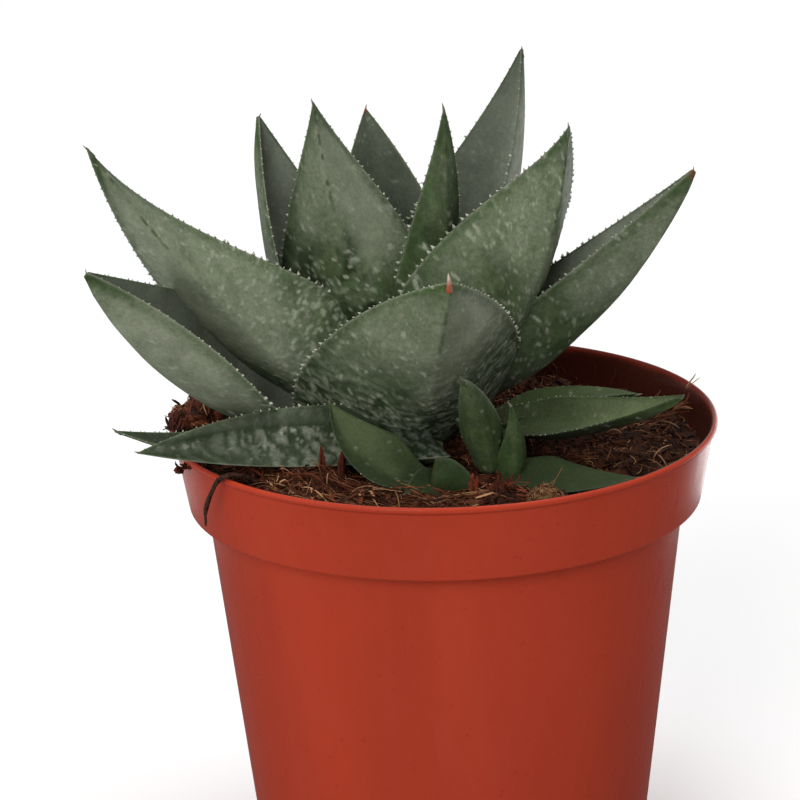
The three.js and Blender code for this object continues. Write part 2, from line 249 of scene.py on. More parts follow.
def closed_skin(
    name: str,
    grid: Array,
    start: Array,
    end: Array,
    values: dict[str, Array] | None = None,
    chart: Array | None = None,
) -> Mesh:
    """Make a closed body from rings of points and a point beyond each end.

    Args:
        name: The mesh's name.
        grid: Rings by sides by 3, in millimetres.
        start: The point that closes the first ring.
        end: The point that closes the last ring.
        values: Numbers at the ring points, by name, rings by sides; the end points get their mean.
        chart: Flat coordinates of the ring points in metres, rings by sides by 2.

    Returns:
        The mesh.
    """
    rings, sides = grid.shape[:2]
    points = np.vstack([grid.reshape(-1, 3), start, end])
    count = rings * sides
    ends = (cap_faces(0, sides, count, False), cap_faces(count - sides, sides, count + 1, True))
    kept = {}
    for key, numbers in (values or {}).items():
        kept[key] = np.concatenate([numbers.ravel(), [numbers[0].mean(), numbers[-1].mean()]])
    flat = None
    if chart is not None:
        flat = np.vstack([chart.reshape(-1, 2), chart[0].mean(0), chart[-1].mean(0)])
    return build_mesh(name, points, skin_faces(rings, sides), np.vstack(ends), kept, flat)


def tube(name: str, path: Array, radii: Array, sides: int) -> Mesh:
    """Make a round closed tube along a path.

    Args:
        name: The mesh's name.
        path: Points in millimetres, one row each.
        radii: Radius at each point.
        sides: How many sides the tube has.

    Returns:
        The mesh.
    """
    ahead = np.gradient(path, axis=0)
    ahead /= np.linalg.norm(ahead, axis=1, keepdims=True)
    side = np.cross(ahead, [0.31, 0.52, 0.79])
    side /= np.linalg.norm(side, axis=1, keepdims=True)
    up = np.cross(ahead, side)
    turn = full_turn(sides)
    ring = side[:, None] * np.cos(turn)[None, :, None] + up[:, None] * np.sin(turn)[None, :, None]
    grid = path[:, None] + ring * radii[:, None, None]
    return closed_skin(name, grid, path[0] - ahead[0] * radii[0], path[-1] + ahead[-1] * radii[-1])


def add_object(name: str, data: bpy.types.ID) -> Object:
    """Return a new object in the scene."""
    made = bpy.data.objects.new(name, data)
    bpy.context.scene.collection.objects.link(made)
    return made


def applied(made: Object) -> Mesh:
    """Return an object's mesh with its modifiers applied, and remove the object."""
    mesh = bpy.data.meshes.new_from_object(made.evaluated_get(bpy.context.evaluated_depsgraph_get()))
    bpy.data.objects.remove(made)
    return mesh


def place(
    name: str, mesh: Mesh, material: Material | None = None, nodes: tuple[str, ...] = ()
) -> Object:
    """Put a finished mesh into the scene as a piece of the object.

    Args:
        name: The piece's name.
        mesh: Its mesh, in place in the frame.
        material: Its material, or none where the mesh has one already.
        nodes: The solids it stands for.

    Returns:
        The piece.
    """
    if material is not None:
        mesh.materials.clear()
        mesh.materials.append(material)
    mesh.name = name
    piece = add_object(name, mesh)
    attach(piece, BODY)
    if nodes:
        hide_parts(*nodes)
    LOG.info("%s: %d faces", name, len(mesh.polygons))
    return piece


# ---------------------------------------------------------------- node trees


class Graph:
    """Adds and links the nodes of one node tree."""

    def __init__(self, tree: NodeTree) -> None:
        """Start on a tree.

        Args:
            tree: The tree to work in.
        """
        self.tree = tree

    def feed(self, socket: NodeSocket, value: object) -> None:
        """Link or set an input.

        Args:
            socket: The input.
            value: An output socket to link it to, or its plain value.
        """
        if isinstance(value, NodeSocket):
            self.tree.links.new(value, socket)
        else:
            socket.default_value = value

    def add(self, kind: str, inputs: dict | None = None, **settings: object) -> bpy.types.Node:
        """Add a node.

        Args:
            kind: The node's type.
            inputs: A value or an output socket for each named input.
            settings: The node's own settings.

        Returns:
            The node.
        """
        node = self.tree.nodes.new(kind)
        for name, value in settings.items():
            setattr(node, name, value)
        for key, value in (inputs or {}).items():
            exact = [s for s in node.inputs if s.identifier == key]
            self.feed((exact or [s for s in node.inputs if s.name == key and s.enabled])[0], value)
        return node

    def get(self, kind: str, inputs: dict | None = None, **settings: object) -> NodeSocket:
        """Add a node and return its first output in use; the arguments are those of add."""
        return next(socket for socket in self.add(kind, inputs, **settings).outputs if socket.enabled)

    def math(self, operation: str, a: object, b: object = 0.0, clamp: bool = False) -> NodeSocket:
        """Return the result of a sum on one or two numbers."""
        return self.get("ShaderNodeMath", {"Value": a, "Value_001": b}, operation=operation, use_clamp=clamp)
    def plus(self, a: object, b: object, clamp: bool = False) -> NodeSocket:
        """Return the sum of two numbers."""
        return self.math("ADD", a, b, clamp)

    def times(self, a: object, b: object, clamp: bool = False) -> NodeSocket:
        """Return the product of two numbers."""
        return self.math("MULTIPLY", a, b, clamp)

    def scale(self, vector: object, factor: object) -> NodeSocket:
        """Return a vector times a number."""
        inputs = {"Vector": vector, "Scale": factor}
        return self.get("ShaderNodeVectorMath", inputs, operation="SCALE")

    def sum(self, a: object, b: object) -> NodeSocket:
        """Return the sum of two vectors."""
        return self.get("ShaderNodeVectorMath", {"Vector": a, "Vector_001": b}, operation="ADD")

    def span(self, value: object, low: float, high: float, start: float = 0, end: float = 1) -> NodeSocket:
        """Return a smooth step from start to end as a number goes from low to high."""
        inputs = {"Value": value, "From Min": low, "From Max": high, "To Min": start, "To Max": end}
        return self.get("ShaderNodeMapRange", inputs, interpolation_type="SMOOTHSTEP")

    def noise(self, vector: object, size: object, detail: float, warp: float = 0.0) -> NodeSocket:
        """Return noise between 0 and 1 whose blotches are about size metres across."""
        fineness = self.math("DIVIDE", 1.0, size) if isinstance(size, NodeSocket) else 1 / size
        inputs = {"Vector": vector, "Scale": fineness, "Detail": detail, "Distortion": warp}
        return self.get("ShaderNodeTexNoise", inputs)

    def blend(self, share: object, a: object, b: object) -> NodeSocket:
        """Return colour a turned into colour b by a share."""
        inputs = {"Factor_Float": share, "A_Color": a, "B_Color": b}
        return self.get("ShaderNodeMix", inputs, data_type="RGBA")


class Skin(Graph):
    """The node tree of a material, with its shader."""

    def __init__(self, name: str) -> None:
        """Make the material.

        Args:
            name: The material's name.
        """
        self.material = bpy.data.materials.new(name)
        self.material.use_nodes = True
        super().__init__(self.material.node_tree)
        self.shader = self.tree.nodes["Principled BSDF"]
        self.place = self.add("ShaderNodeTexCoord").outputs["Object"]

    def kept(self, name: str, output: str = "Fac") -> NodeSocket:
        """Return a number kept at the vertices, or a vector, by the output "Vector"."""
        return self.add("ShaderNodeAttribute", attribute_name=name).outputs[output]

    def axis(self, name: str) -> NodeSocket:
        """Return the place along an axis, in metres."""
        return self.add("ShaderNodeSeparateXYZ", {"Vector": self.place}).outputs[name]

    def cloud(self, size: float, detail: float, warp: float = 0.0) -> NodeSocket:
        """Return noise between 0 and 1 at the place itself."""
        return self.noise(self.place, size, detail, warp)

    def use(self, group: str, output: str, **inputs: object) -> NodeSocket:
        """Place a shared group, set or link its inputs and return one of its outputs."""
        inputs = {"Place": self.place} | inputs
        return self.add("ShaderNodeGroup", inputs, node_tree=GROUPS[group]).outputs[output]

    def mottle(self, colour: object, size: float, amount: float, **other: object) -> NodeSocket:
        """Return a colour varied in soft blotches; another Place may be given."""
        return self.use("mottle", "Colour", Colour=colour, Size=size, Amount=amount, **other)

    def grain(self, name: str, size: float, amount: float) -> NodeSocket:
        """Return a mask kept at the vertices, its soft border broken up into grain."""
        return self.use("grain", "Mask", Mask=self.kept(name), Size=size, Amount=amount)

    def dust(self, colour: object, amount: float) -> NodeSocket:
        """Return a colour under fine pale dust on what faces up."""
        return self.use("dust", "Colour", Colour=colour, Amount=amount)

    def bump(self, height: object, depth: float, strength: float) -> NodeSocket:
        """Return a normal roughened by a height, depth metres deep."""
        return self.get("ShaderNodeBump", {"Strength": strength, "Distance": depth, "Height": height})

    def finish(self, **inputs: object) -> Material:
        """Set or link the shader's inputs, with underscores for spaces, and return the material."""
        for key, value in inputs.items():
            self.feed(self.shader.inputs[key.replace("_", " ")], value)
        return self.material


def tone(red: float, green: float, blue: float) -> tuple[float, float, float, float]:
    """Return an opaque colour in linear light."""
    return (red, green, blue, 1.0)


SOCKETS = {float: "Float", int: "Int", tuple: "Color"}  # kinds of sockets by the type of their value


class Group(Graph):
    """A node group with named inputs and outputs."""

    def __init__(self, name: str, kind: str, inputs: dict[str, object], outputs: dict[str, str]) -> None:
        """Start a group.

        Args:
            name: The group's name.
            kind: "ShaderNodeTree" or "GeometryNodeTree".
            inputs: Values by the inputs' names, or socket kinds of those without one.
            outputs: Socket kinds by the outputs' names.
        """
        super().__init__(bpy.data.node_groups.new(name, kind))
        sockets = self.tree.interface
        for key, value in inputs.items():
            socket = SOCKETS.get(type(value), value)
            made = sockets.new_socket(name=key, in_out="INPUT", socket_type="NodeSocket" + socket)
            if socket != value:
                made.default_value = value
        for key, socket in outputs.items():
            sockets.new_socket(name=key, in_out="OUTPUT", socket_type="NodeSocket" + socket)
        self.way_in = self.tree.nodes.new("NodeGroupInput").outputs
        self.way_out = self.tree.nodes.new("NodeGroupOutput").inputs

    def close(self, **results: NodeSocket) -> NodeTree:
        """Link the group's outputs and return its tree."""
        for key, socket in results.items():
            self.tree.links.new(socket, self.way_out[key])
        return self.tree


def mottle_group() -> NodeTree:
    """Build the group that varies a colour in soft blotches, as living tissue and mouldings do."""
    inputs = {"Place": "Vector", "Colour": tone(0.5, 0.5, 0.5), "Size": 0.01, "Amount": 0.15}
    graph = Group("soft mottling", "ShaderNodeTree", inputs, {"Colour": "Color"})
    way = graph.way_in
    mask = graph.span(graph.noise(way["Place"], way["Size"], 4, 0.6), 0.3, 0.7)
    shade = graph.math("SUBTRACT", 1.0, way["Amount"])
    light = graph.plus(1.0, way["Amount"])
    factor = graph.plus(shade, graph.times(mask, graph.math("SUBTRACT", light, shade)))
    return graph.close(Colour=graph.scale(way["Colour"], factor))


def dust_group() -> NodeTree:
    """Build the group that lays fine pale dust on what faces up."""
    inputs = {"Place": "Vector", "Colour": tone(0.5, 0.5, 0.5), "Dust": tone(0.5, 0.42, 0.34)}
    inputs |= {"Amount": 0.2, "Size": 0.0006}
    graph = Group("settled dust", "ShaderNodeTree", inputs, {"Colour": "Color"})
    way = graph.way_in
    normal = graph.add("ShaderNodeNewGeometry").outputs["Normal"]
    height = graph.add("ShaderNodeSeparateXYZ", {"Vector": normal}).outputs["Z"]
    flat = graph.span(height, -0.2, 0.9, 0.25, 1.0)
    grains = graph.span(graph.noise(way["Place"], way["Size"], 2), 0.55, 0.75)
    drift = graph.noise(way["Place"], 0.012, 3)
    mask = graph.times(graph.times(graph.times(flat, grains), drift), way["Amount"], clamp=True)
    return graph.close(Colour=graph.blend(mask, way["Colour"], way["Dust"]))


def grain_group() -> NodeTree:
    """Build the group that breaks a mask's soft border up into fine grain."""
    inputs = {"Place": "Vector", "Mask": 0.5, "Size": 0.001, "Amount": 0.4}
    graph = Group("grain of a mask", "ShaderNodeTree", inputs, {"Mask": "Float"})
    way = graph.way_in
    grain = graph.math("SUBTRACT", graph.noise(way["Place"], way["Size"], 3), 0.5)
    swing = graph.times(grain, graph.times(way["Amount"], 2.0))
    border = graph.times(way["Mask"], graph.math("SUBTRACT", 1.0, way["Mask"]))
    moved = graph.times(swing, graph.times(border, 4.0))
    return graph.close(Mask=graph.plus(way["Mask"], moved, clamp=True))


GROUPS = {"mottle": mottle_group(), "dust": dust_group(), "grain": grain_group()}


# ---------------------------------------------------------------- trees that repeat a form


def run_tree(name: str, base: Mesh, tree: NodeTree, inputs: dict[str, object]) -> Mesh:
    """Run a geometry node tree on a mesh.

    Args:
        name: The finished mesh's name.
        base: What the tree works on.
        tree: The tree.
        inputs: The tree's inputs by their names.

    Returns:
        The result as a plain mesh with its material.
    """
    holder = add_object(name + " base", base)
    modifier = holder.modifiers.new("rows", "NODES")
    modifier.node_group = tree
    for item in tree.interface.items_tree:
        if item.item_type == "SOCKET" and item.in_out == "INPUT" and item.name in inputs:
            modifier[item.identifier] = inputs[item.name]
    mesh = applied(holder)
    mesh.name = name
    return mesh


class Growth(Group):
    """A geometry node group that makes bare lines or faces into finished meshes."""

    def __init__(self, name: str, inputs: dict[str, object]) -> None:
        """Start a group.

        Args:
            name: The group's name.
            inputs: Values by the inputs' names, but for "Geometry" and "Finish".
        """
        whole = {"Geometry": "Geometry", **inputs, "Finish": "Material"}
        super().__init__(name, "GeometryNodeTree", whole, {"Geometry": "Geometry"})

    def named(self, name: str, kind: str = "FLOAT") -> NodeSocket:
        """Return a number or vector kept at the points."""
        return self.get("GeometryNodeInputNamedAttribute", {"Name": name}, data_type=kind)

    def draw(self, low: object, high: object, seed: object) -> NodeSocket:
        """Return a random number, or vector, of each point's own between two bounds."""
        end, kind = ("", "FLOAT_VECTOR") if isinstance(low, tuple) else ("_001", "FLOAT")
        bounds = {"Min" + end: low, "Max" + end: high, "ID": self.get("GeometryNodeInputIndex"), "Seed": seed}
        return self.get("FunctionNodeRandomValue", bounds, data_type=kind)

    def end(self, geometry: NodeSocket) -> NodeTree:
        """End the group in real, smooth meshes with a material.

        Args:
            geometry: What the group has made.

        Returns:
            The group's tree.
        """
        real = self.get("GeometryNodeRealizeInstances", {"Geometry": geometry})
        even = self.get("GeometryNodeSetShadeSmooth", {"Geometry": real, "Shade Smooth": True})
        dressed = {"Geometry": even, "Material": self.way_in["Finish"]}
        return self.close(Geometry=self.get("GeometryNodeSetMaterial", dressed))


def teeth_tree() -> NodeTree:
    """Build the tree that stands small horny teeth along lines.

    The lines carry a vector "out", the way a tooth points, and a number "size".

    Returns:
        The tree.
    """
    graph = Growth("teeth along lines", {"Pitch": 0.002, "Height": 0.001, "Width": 0.0005, "Seed": 1})
    way = graph.way_in
    curves = graph.get("GeometryNodeMeshToCurve", {"Mesh": way["Geometry"]})
    points = graph.get("GeometryNodeResampleCurve", {"Curve": curves, "Length": way["Pitch"]}, mode="LENGTH")
    shift = graph.times(graph.draw(-0.3, 0.3, 7), way["Pitch"])
    along = graph.scale(graph.get("GeometryNodeInputTangent"), shift)
    moved = graph.get("GeometryNodeSetPosition", {"Geometry": points, "Offset": along})
    tilt = graph.draw((-0.35, -0.35, -0.15), (0.35, 0.35, 0.15), way["Seed"])
    out = graph.sum(graph.named("out", "FLOAT_VECTOR"), tilt)
    cone = {"Vertices": 6, "Side Segments": 2, "Radius Bottom": way["Width"], "Radius Top": 0.00003}
    cone = graph.get("GeometryNodeMeshCone", {**cone, "Depth": way["Height"]}, fill_type="TRIANGLE_FAN")
    inputs = {
        "Points": moved,
        "Instance": cone,
        "Rotation": graph.get("FunctionNodeAlignRotationToVector", {"Vector": out}, axis="Z"),
        "Scale": graph.times(graph.named("size"), graph.draw(0.65, 1.2, 3)),
    }
    return graph.end(graph.get("GeometryNodeInstanceOnPoints", inputs))


def strand_tree() -> NodeTree:
    """Build the tree that gives lines the thickness of fibres.

    The lines carry a number "girth", a share of the full thickness.

    Returns:
        The tree.
    """
    graph = Growth("fibres on lines", {"Radius": 0.0001, "Flat": 1.0, "Sides": 3})
    way = graph.way_in
    curves = graph.get("GeometryNodeMeshToCurve", {"Mesh": way["Geometry"]})
    circle = {"Resolution": way["Sides"], "Radius": way["Radius"]}
    round_ = graph.get("GeometryNodeCurvePrimitiveCircle", circle)
    squash = graph.get("ShaderNodeCombineXYZ", {"X": 1.0, "Y": way["Flat"], "Z": 1.0})
    section = graph.get("GeometryNodeTransform", {"Geometry": round_, "Scale": squash})
    inputs = {"Curve": curves, "Profile Curve": section, "Scale": graph.named("girth"), "Fill Caps": True}
    return graph.end(graph.get("GeometryNodeCurveToMesh", inputs))


def crumb_tree() -> NodeTree:
    """Build the tree that strews a surface with rough crumbs.

    The surface carries a number "litter", the share of the full density.

    Returns:
        The tree.
    """
    graph = Growth("crumbs on a surface", {"Density": 100000.0, "Size": 0.0008, "Seed": 1})
    way = graph.way_in
    density = graph.times(graph.named("litter"), way["Density"])
    strewn = {"Mesh": way["Geometry"], "Density": density, "Seed": way["Seed"]}
    turn = graph.draw((-3.0, -3.0, -3.0), (3.0, 3.0, 3.0), 2)
    inputs = {
        "Points": graph.get("GeometryNodeDistributePointsOnFaces", strewn),
        "Instance": graph.get("GeometryNodeMeshIcoSphere", {"Radius": way["Size"], "Subdivisions": 2}),
        "Rotation": graph.get("FunctionNodeEulerToRotation", {"Euler": turn}),
        "Scale": graph.draw((0.45, 0.35, 0.3), (1.5, 1.0, 0.8), 5),
    }
    crumbs = graph.get("GeometryNodeInstanceOnPoints", inputs)
    inputs = {"Geometry": crumbs, "Name": "tint", "Value": graph.draw(0.0, 1.0, 9)}
    kept = graph.get("GeometryNodeStoreNamedAttribute", inputs, data_type="FLOAT", domain="INSTANCE")
    real = graph.get("GeometryNodeRealizeInstances", {"Geometry": kept})
    at = graph.get("GeometryNodeInputPosition")
    lumps = graph.get("ShaderNodeTexNoise", {"Vector": at, "Scale": 1500.0, "Detail": 1.0})
    depth = graph.times(graph.math("SUBTRACT", lumps, 0.5), graph.times(way["Size"], 1.6))
    push = graph.scale(graph.get("GeometryNodeInputNormal"), depth)
    return graph.end(graph.get("GeometryNodeSetPosition", {"Geometry": real, "Offset": push}))


class Lines:
    """Gathers open lines with values at their points, as a mesh of edges for a tree to work on."""

    def __init__(self) -> None:
        """Start with no line."""
        self.points: list[Array] = []
        self.edges: list[Array] = []
        self.values: dict[str, list[Array]] = {}
        self.count = 0

    def add(self, path: Array, **values: Array | float) -> None:
        """Add a line.

        Args:
            path: Its points in millimetres, one row each.
            values: A number, a number for each point or a vector for each point, by name.
        """
        step = np.arange(len(path) - 1) + self.count
        self.points.append(path)
        self.edges.append(np.stack([step, step + 1], 1))
        self.count += len(path)
        for key, value in values.items():
            whole = np.full(len(path), value) if np.ndim(value) == 0 else np.asarray(value)
            self.values.setdefault(key, []).append(whole)

    def mesh(self, name: str) -> Mesh:
        """Return the lines as a mesh of edges, in metres.

        Args:
            name: The mesh's name.

        Returns:
            The mesh, with the values at its vertices.
        """
        mesh = bpy.data.meshes.new(name)
        points = np.vstack(self.points) * MM
        mesh.from_pydata(points.tolist(), np.vstack(self.edges).tolist(), [])
        for key, parts in self.values.items():
            keep_numbers(mesh, key, np.concatenate(parts))
        return mesh


# ---------------------------------------------------------------- finishes


@dataclass(frozen=True)
class LeafSkin:
    """Waxy, bloomed leaf skin with pale raised spots, its colours in linear light."""

    name: str = "leaf skin"
    bloom: tuple = tone(0.27, 0.3, 0.212)  # grey wax on the outer faces
    flesh: tuple = tone(0.052, 0.085, 0.03)  # green where the wax is thin
    dark: tuple = tone(0.014, 0.026, 0.008)  # mottling between the spots, and painted shade at feet, margins and creases
    inner: tuple = tone(0.06, 0.074, 0.047)  # smooth inner faces, in the dark ones
    fair: tuple = tone(0.25, 0.275, 0.215)  # and in the light ones, also painted light near some feet
    pale: tuple = tone(0.43, 0.45, 0.35)  # spots and raised rows
    horn: tuple = tone(0.62, 0.6, 0.5)  # the thin margin
    rust: tuple = tone(0.24, 0.06, 0.035)  # reddened tips
    soil: tuple = tone(0.16, 0.075, 0.04)  # dust near the ground

    def build(self) -> Material:
        """Return the material."""
        skin = Skin(self.name)
        waxy, thin = skin.mottle(self.bloom, 0.006, 0.12), skin.mottle(self.flesh, 0.003, 0.25)
        outer = skin.blend(skin.grain("bloom", 0.0012, 0.3), thin, waxy)
        face = skin.mottle(skin.blend(skin.kept("fair"), self.inner, self.fair), 0.009, 0.16)
        colour = skin.blend(skin.kept("inner"), outer, face)
        marks = (
            (skin.grain("dark", 0.0005, 0.2), self.dark),
            (skin.grain("pale", 0.0004, 0.35), self.pale),
            (skin.kept("horn"), self.horn),
            (skin.kept("rust"), self.rust),
            (skin.grain("dirt", 0.0016, 0.9), self.soil),
        )
        for mask, mark in marks:
            colour = skin.blend(mask, colour, mark)
        fine, broad = skin.cloud(0.00035, 3), skin.cloud(0.0022, 3)
        return skin.finish(
            Base_Color=skin.dust(skin.mottle(colour, 0.0006, 0.1), 0.04),
            Roughness=skin.plus(skin.span(broad, 0.3, 0.7, 0.42, 0.56), skin.times(fine, 0.08)),
            Specular_IOR_Level=0.06,
            Coat_Weight=0.01,
            Coat_Roughness=0.35,
            Sheen_Weight=0.02,
            Sheen_Roughness=0.6,
            Normal=skin.bump(skin.plus(skin.times(fine, 0.3), broad), 0.00012, 0.5),
        )


@dataclass(frozen=True)
class Horn:
    """Translucent horny teeth and margins."""

    name: str = "pale horn"
    colour: tuple = tone(0.52, 0.53, 0.43)
    foot: tuple = tone(0.3, 0.33, 0.23)

    def build(self) -> Material:
        """Return the material."""
        skin = Skin(self.name)
        spread = skin.cloud(0.004, 3)
        blotchy = skin.mottle(self.colour, 0.001, 0.2)
        return skin.finish(
            Base_Color=skin.blend(skin.span(spread, 0.35, 0.7), self.foot, blotchy),
            Roughness=skin.span(spread, 0.3, 0.7, 0.32, 0.5),
            Subsurface_Weight=0.15,
            Subsurface_Radius=(0.6, 0.5, 0.3),
            Subsurface_Scale=0.0006,
            Normal=skin.bump(skin.cloud(0.0003, 2), 0.00008, 0.5),
        )


@dataclass(frozen=True)
class SpineSkin:
    """Dry spines at the leaf tips, in the colours kept at their points."""

    name: str = "dry spine"

    def build(self) -> Material:
        """Return the material."""
        skin = Skin(self.name)
        streaks = skin.cloud(0.0006, 3, 0.8)
        return skin.finish(
            Base_Color=skin.scale(skin.kept("tint", "Vector"), skin.span(streaks, 0.25, 0.75, 0.75, 1.2)),
            Roughness=skin.span(streaks, 0.3, 0.7, 0.38, 0.6),
            Normal=skin.bump(streaks, 0.0001, 0.5),
        )


@dataclass(frozen=True)
class PotPlastic:
    """Satin moulded plastic in terracotta red, a little dusty and scuffed."""

    name: str = "terracotta plastic"
    colour: tuple = tone(0.445, 0.047, 0.021)
    worn: tuple = tone(0.46, 0.058, 0.029)
    deep: tuple = tone(0.3, 0.024, 0.01)
    # painted shade inside the pot
    inside_shade: tuple = tone(0.028, 0.008, 0.005)

    def build(self) -> Material:
        """Return the material."""
        skin = Skin(self.name)
        tall = skin.add("ShaderNodeMapping", {"Vector": skin.place, "Scale": (1.0, 1.0, 0.22)}).outputs[0]
        cloudy = skin.mottle(self.colour, 0.03, 0.07, Place=tall)
        flow = skin.noise(tall, 0.011, 4, 1.2)
        colour = skin.blend(skin.span(flow, 0.48, 0.75, 0, 0.35), cloudy, self.worn)
        colour = skin.blend(skin.span(skin.cloud(0.0011, 1), 0.7, 0.78, 0, 0.5), colour, self.deep)
        # Painted shade darkens the inside of the pot up to just under the rim.
        normal = skin.add("ShaderNodeNewGeometry").outputs["Normal"]
        flat = {"Vector": normal, "Vector_001": (1, 1, 0)}
        flat = skin.get("ShaderNodeVectorMath", flat, operation="MULTIPLY")
        outward = {"Vector": flat, "Vector_001": skin.place}
        outward = skin.add("ShaderNodeVectorMath", outward, operation="DOT_PRODUCT").outputs["Value"]
        inside = skin.span(outward, 0.004, 0.03, 1.0, 0.0)
        height = skin.plus(skin.axis("Z"), skin.times(skin.cloud(0.006, 3), 0.0014))
        below = skin.span(height, 0.0914, 0.0924, 1.0, 0.8)
        colour = skin.blend(skin.times(skin.times(inside, below), 0.95), colour, self.inside_shade)
        fine, satin = skin.cloud(0.0004, 2), skin.noise(tall, 0.006, 4)
        return skin.finish(
            Base_Color=skin.dust(colour, 0.05),
            Roughness=skin.plus(skin.span(satin, 0.3, 0.7, 0.2, 0.28), skin.times(fine, 0.07)),
            Specular_IOR_Level=0.1,
            Normal=skin.bump(skin.plus(skin.times(fine, 0.12), satin), 0.00012, 0.35),
        )


@dataclass(frozen=True)
class Earth:
    """Loose coir and peat: a lit colour over a dark one, in crumbs of a given size."""

    name: str
    light: tuple
    dark: tuple
    size: float
    roughness: float = 0.9
    kept_tint: bool = False
    dry: tuple = ()  # colour of the palest, where the tint is kept
    right_shade: float = 0.0  # how much darker it is on the right, as painted shade

    def build(self) -> Material:
        """Return the material."""
        skin = Skin(self.name)
        crumbs = skin.cloud(self.size, 5, 0.4)
        shade = skin.span(crumbs, 0.34, 0.66)
        if self.kept_tint:
            mixed = skin.times(skin.plus(shade, 0.35), skin.kept("tint"))
            shade = skin.times(mixed, 0.95, clamp=True)
        colour = skin.blend(shade, self.dark, skin.mottle(self.light, 0.008, 0.3))
        if self.dry:
            colour = skin.blend(skin.span(skin.kept("tint"), 0.72, 0.95), colour, self.dry)
        # Painted shade darkens the right side.
        if self.right_shade:
            side = skin.plus(skin.axis("X"), skin.times(skin.cloud(0.01, 2), 0.02))
            colour = skin.scale(colour, skin.span(side, 0.008, 0.04, 1.0, 1 - self.right_shade))
        return skin.finish(
            Base_Color=skin.dust(colour, 0.06),
            Roughness=skin.span(crumbs, 0.2, 0.8, self.roughness - 0.12, self.roughness),
            Specular_IOR_Level=0.12,
            Normal=skin.bump(crumbs, 0.0005, 0.8),
        )


@dataclass(frozen=True)
class StemSkin:
    """Pale green stem with brownish rings where old leaves stood."""

    name: str = "leafy stem"
    green: tuple = tone(0.15, 0.17, 0.07)
    ring: tuple = tone(0.13, 0.07, 0.035)
    density: float = 3200.0  # of the rings, in radians of their wave to the metre

    def build(self) -> Material:
        """Return the material."""
        skin = Skin(self.name)
        height = skin.plus(skin.axis("Z"), skin.times(skin.cloud(0.004, 3), 0.0016))
        rings = skin.span(skin.math("SINE", skin.times(height, self.density)), 0.35, 0.95)
        return skin.finish(
            Base_Color=skin.blend(rings, skin.mottle(self.green, 0.003, 0.25), self.ring),
            Roughness=skin.span(skin.cloud(0.001, 2), 0.3, 0.7, 0.5, 0.75),
            Normal=skin.bump(skin.plus(rings, skin.cloud(0.0008, 3)), 0.0003, 0.6),
        )


# ---------------------------------------------------------------- leaves


class Crown(Enum):
    """The stems: where their middles stand, in millimetres."""

    MAIN = (-8.0, 10.0)
    LEFT = (0.0, -30.0)
    MIDDLE = (9.0, -15.0)
    LOW = (-2.0, -13.0)
    RIGHT = (9.0, -4.0)


@dataclass(frozen=True)
class Marks:
    """How a leaf's skin is marked; shares run from its foot to its tip."""

    bloom: float = 0.85  # how grey the outer face is
    spots_foot: float = 0.75  # chance of a pale spot near the foot
    spots_tip: float = 0.2  # and near the tip
    spot_size: float = 1.0
    rows: float = 0.0  # strength of the raised wavy rows
    rows_end: float = 0.5  # where those rows fade out
    row_pitch: float = 1.9  # millimetres from row to row
    inner_rows: float = 0.0  # strength of those rows on the inner face
    mottle: float = 0.6  # dark mottling between the spots near the foot
    mottle_end: float = 0.5
    keel: float = 0.35  # strength of the dark line on the keel
    keel_start: float = 0.6
    fair: float = 0.5  # how light the inner face is
    painted_light_foot: float = 0.0  # and near its foot, where painted light brightens a face in shade
    inner_marks: float = 0.5  # how marked it is
    crease: float = 0.0  # place across of a crease in it, darkened along its groove with painted shade
    green_tip: float = 0.5  # green near the tip and margins
    rust: float = 0.0  # red-brown at the tip
    margin: float = 0.2  # how pale the margin line is
    margin_shade_band: float = 0.0  # dark band inside the near margin of the inner face: a dark green edge with painted shade
    teeth: float = 1.0  # size of the margin teeth
    keel_teeth: float = 0.0
    tip: Tip = Tip.HAIR
    streaks: float = 0.0  # faint lengthwise streaks
    shaded_half: float = 0.0  # how much less bloom its half below 0 (or, where this is below 0, above 0) has: partly thinner wax, partly painted shade
    under: float = 0.0  # how much painted shade darkens it towards its margin at 1 (or, where this is below 0, at -1)
    painted_shade: float = 0.0  # how much painted shade, dark and green, lies over its foot
    # where that painted shade over the foot ends, as a share of the length
    painted_shade_end: float = 0.3
    bare: int = 0  # the margin without teeth, -1 or 1
    dirt: float = 0.3  # soil on the foot


@dataclass(frozen=True)
class Blade:
    """What all leaves have in common, as in the solids."""

    foot_thick: float = 0.5
    cup: float = 1.4
    keel: tuple = (2.2, 1.2)
    thinning: float = 0.9
    thinning_power: float = 1.2
    edge: float = 0.16  # half the thickness of the rounded margin
    fine: float = 0.6  # size of the mesh's cells
    last: float = 0.992  # share of the length at which the last ring stands
    steps: int = 800  # in which the middle line is worked out
    speck_cells: int = 64  # after which the draws for the specks repeat
    inner_shift: int = 300  # which gives the inner face spots of its own, in millimetres


BLADE = Blade()


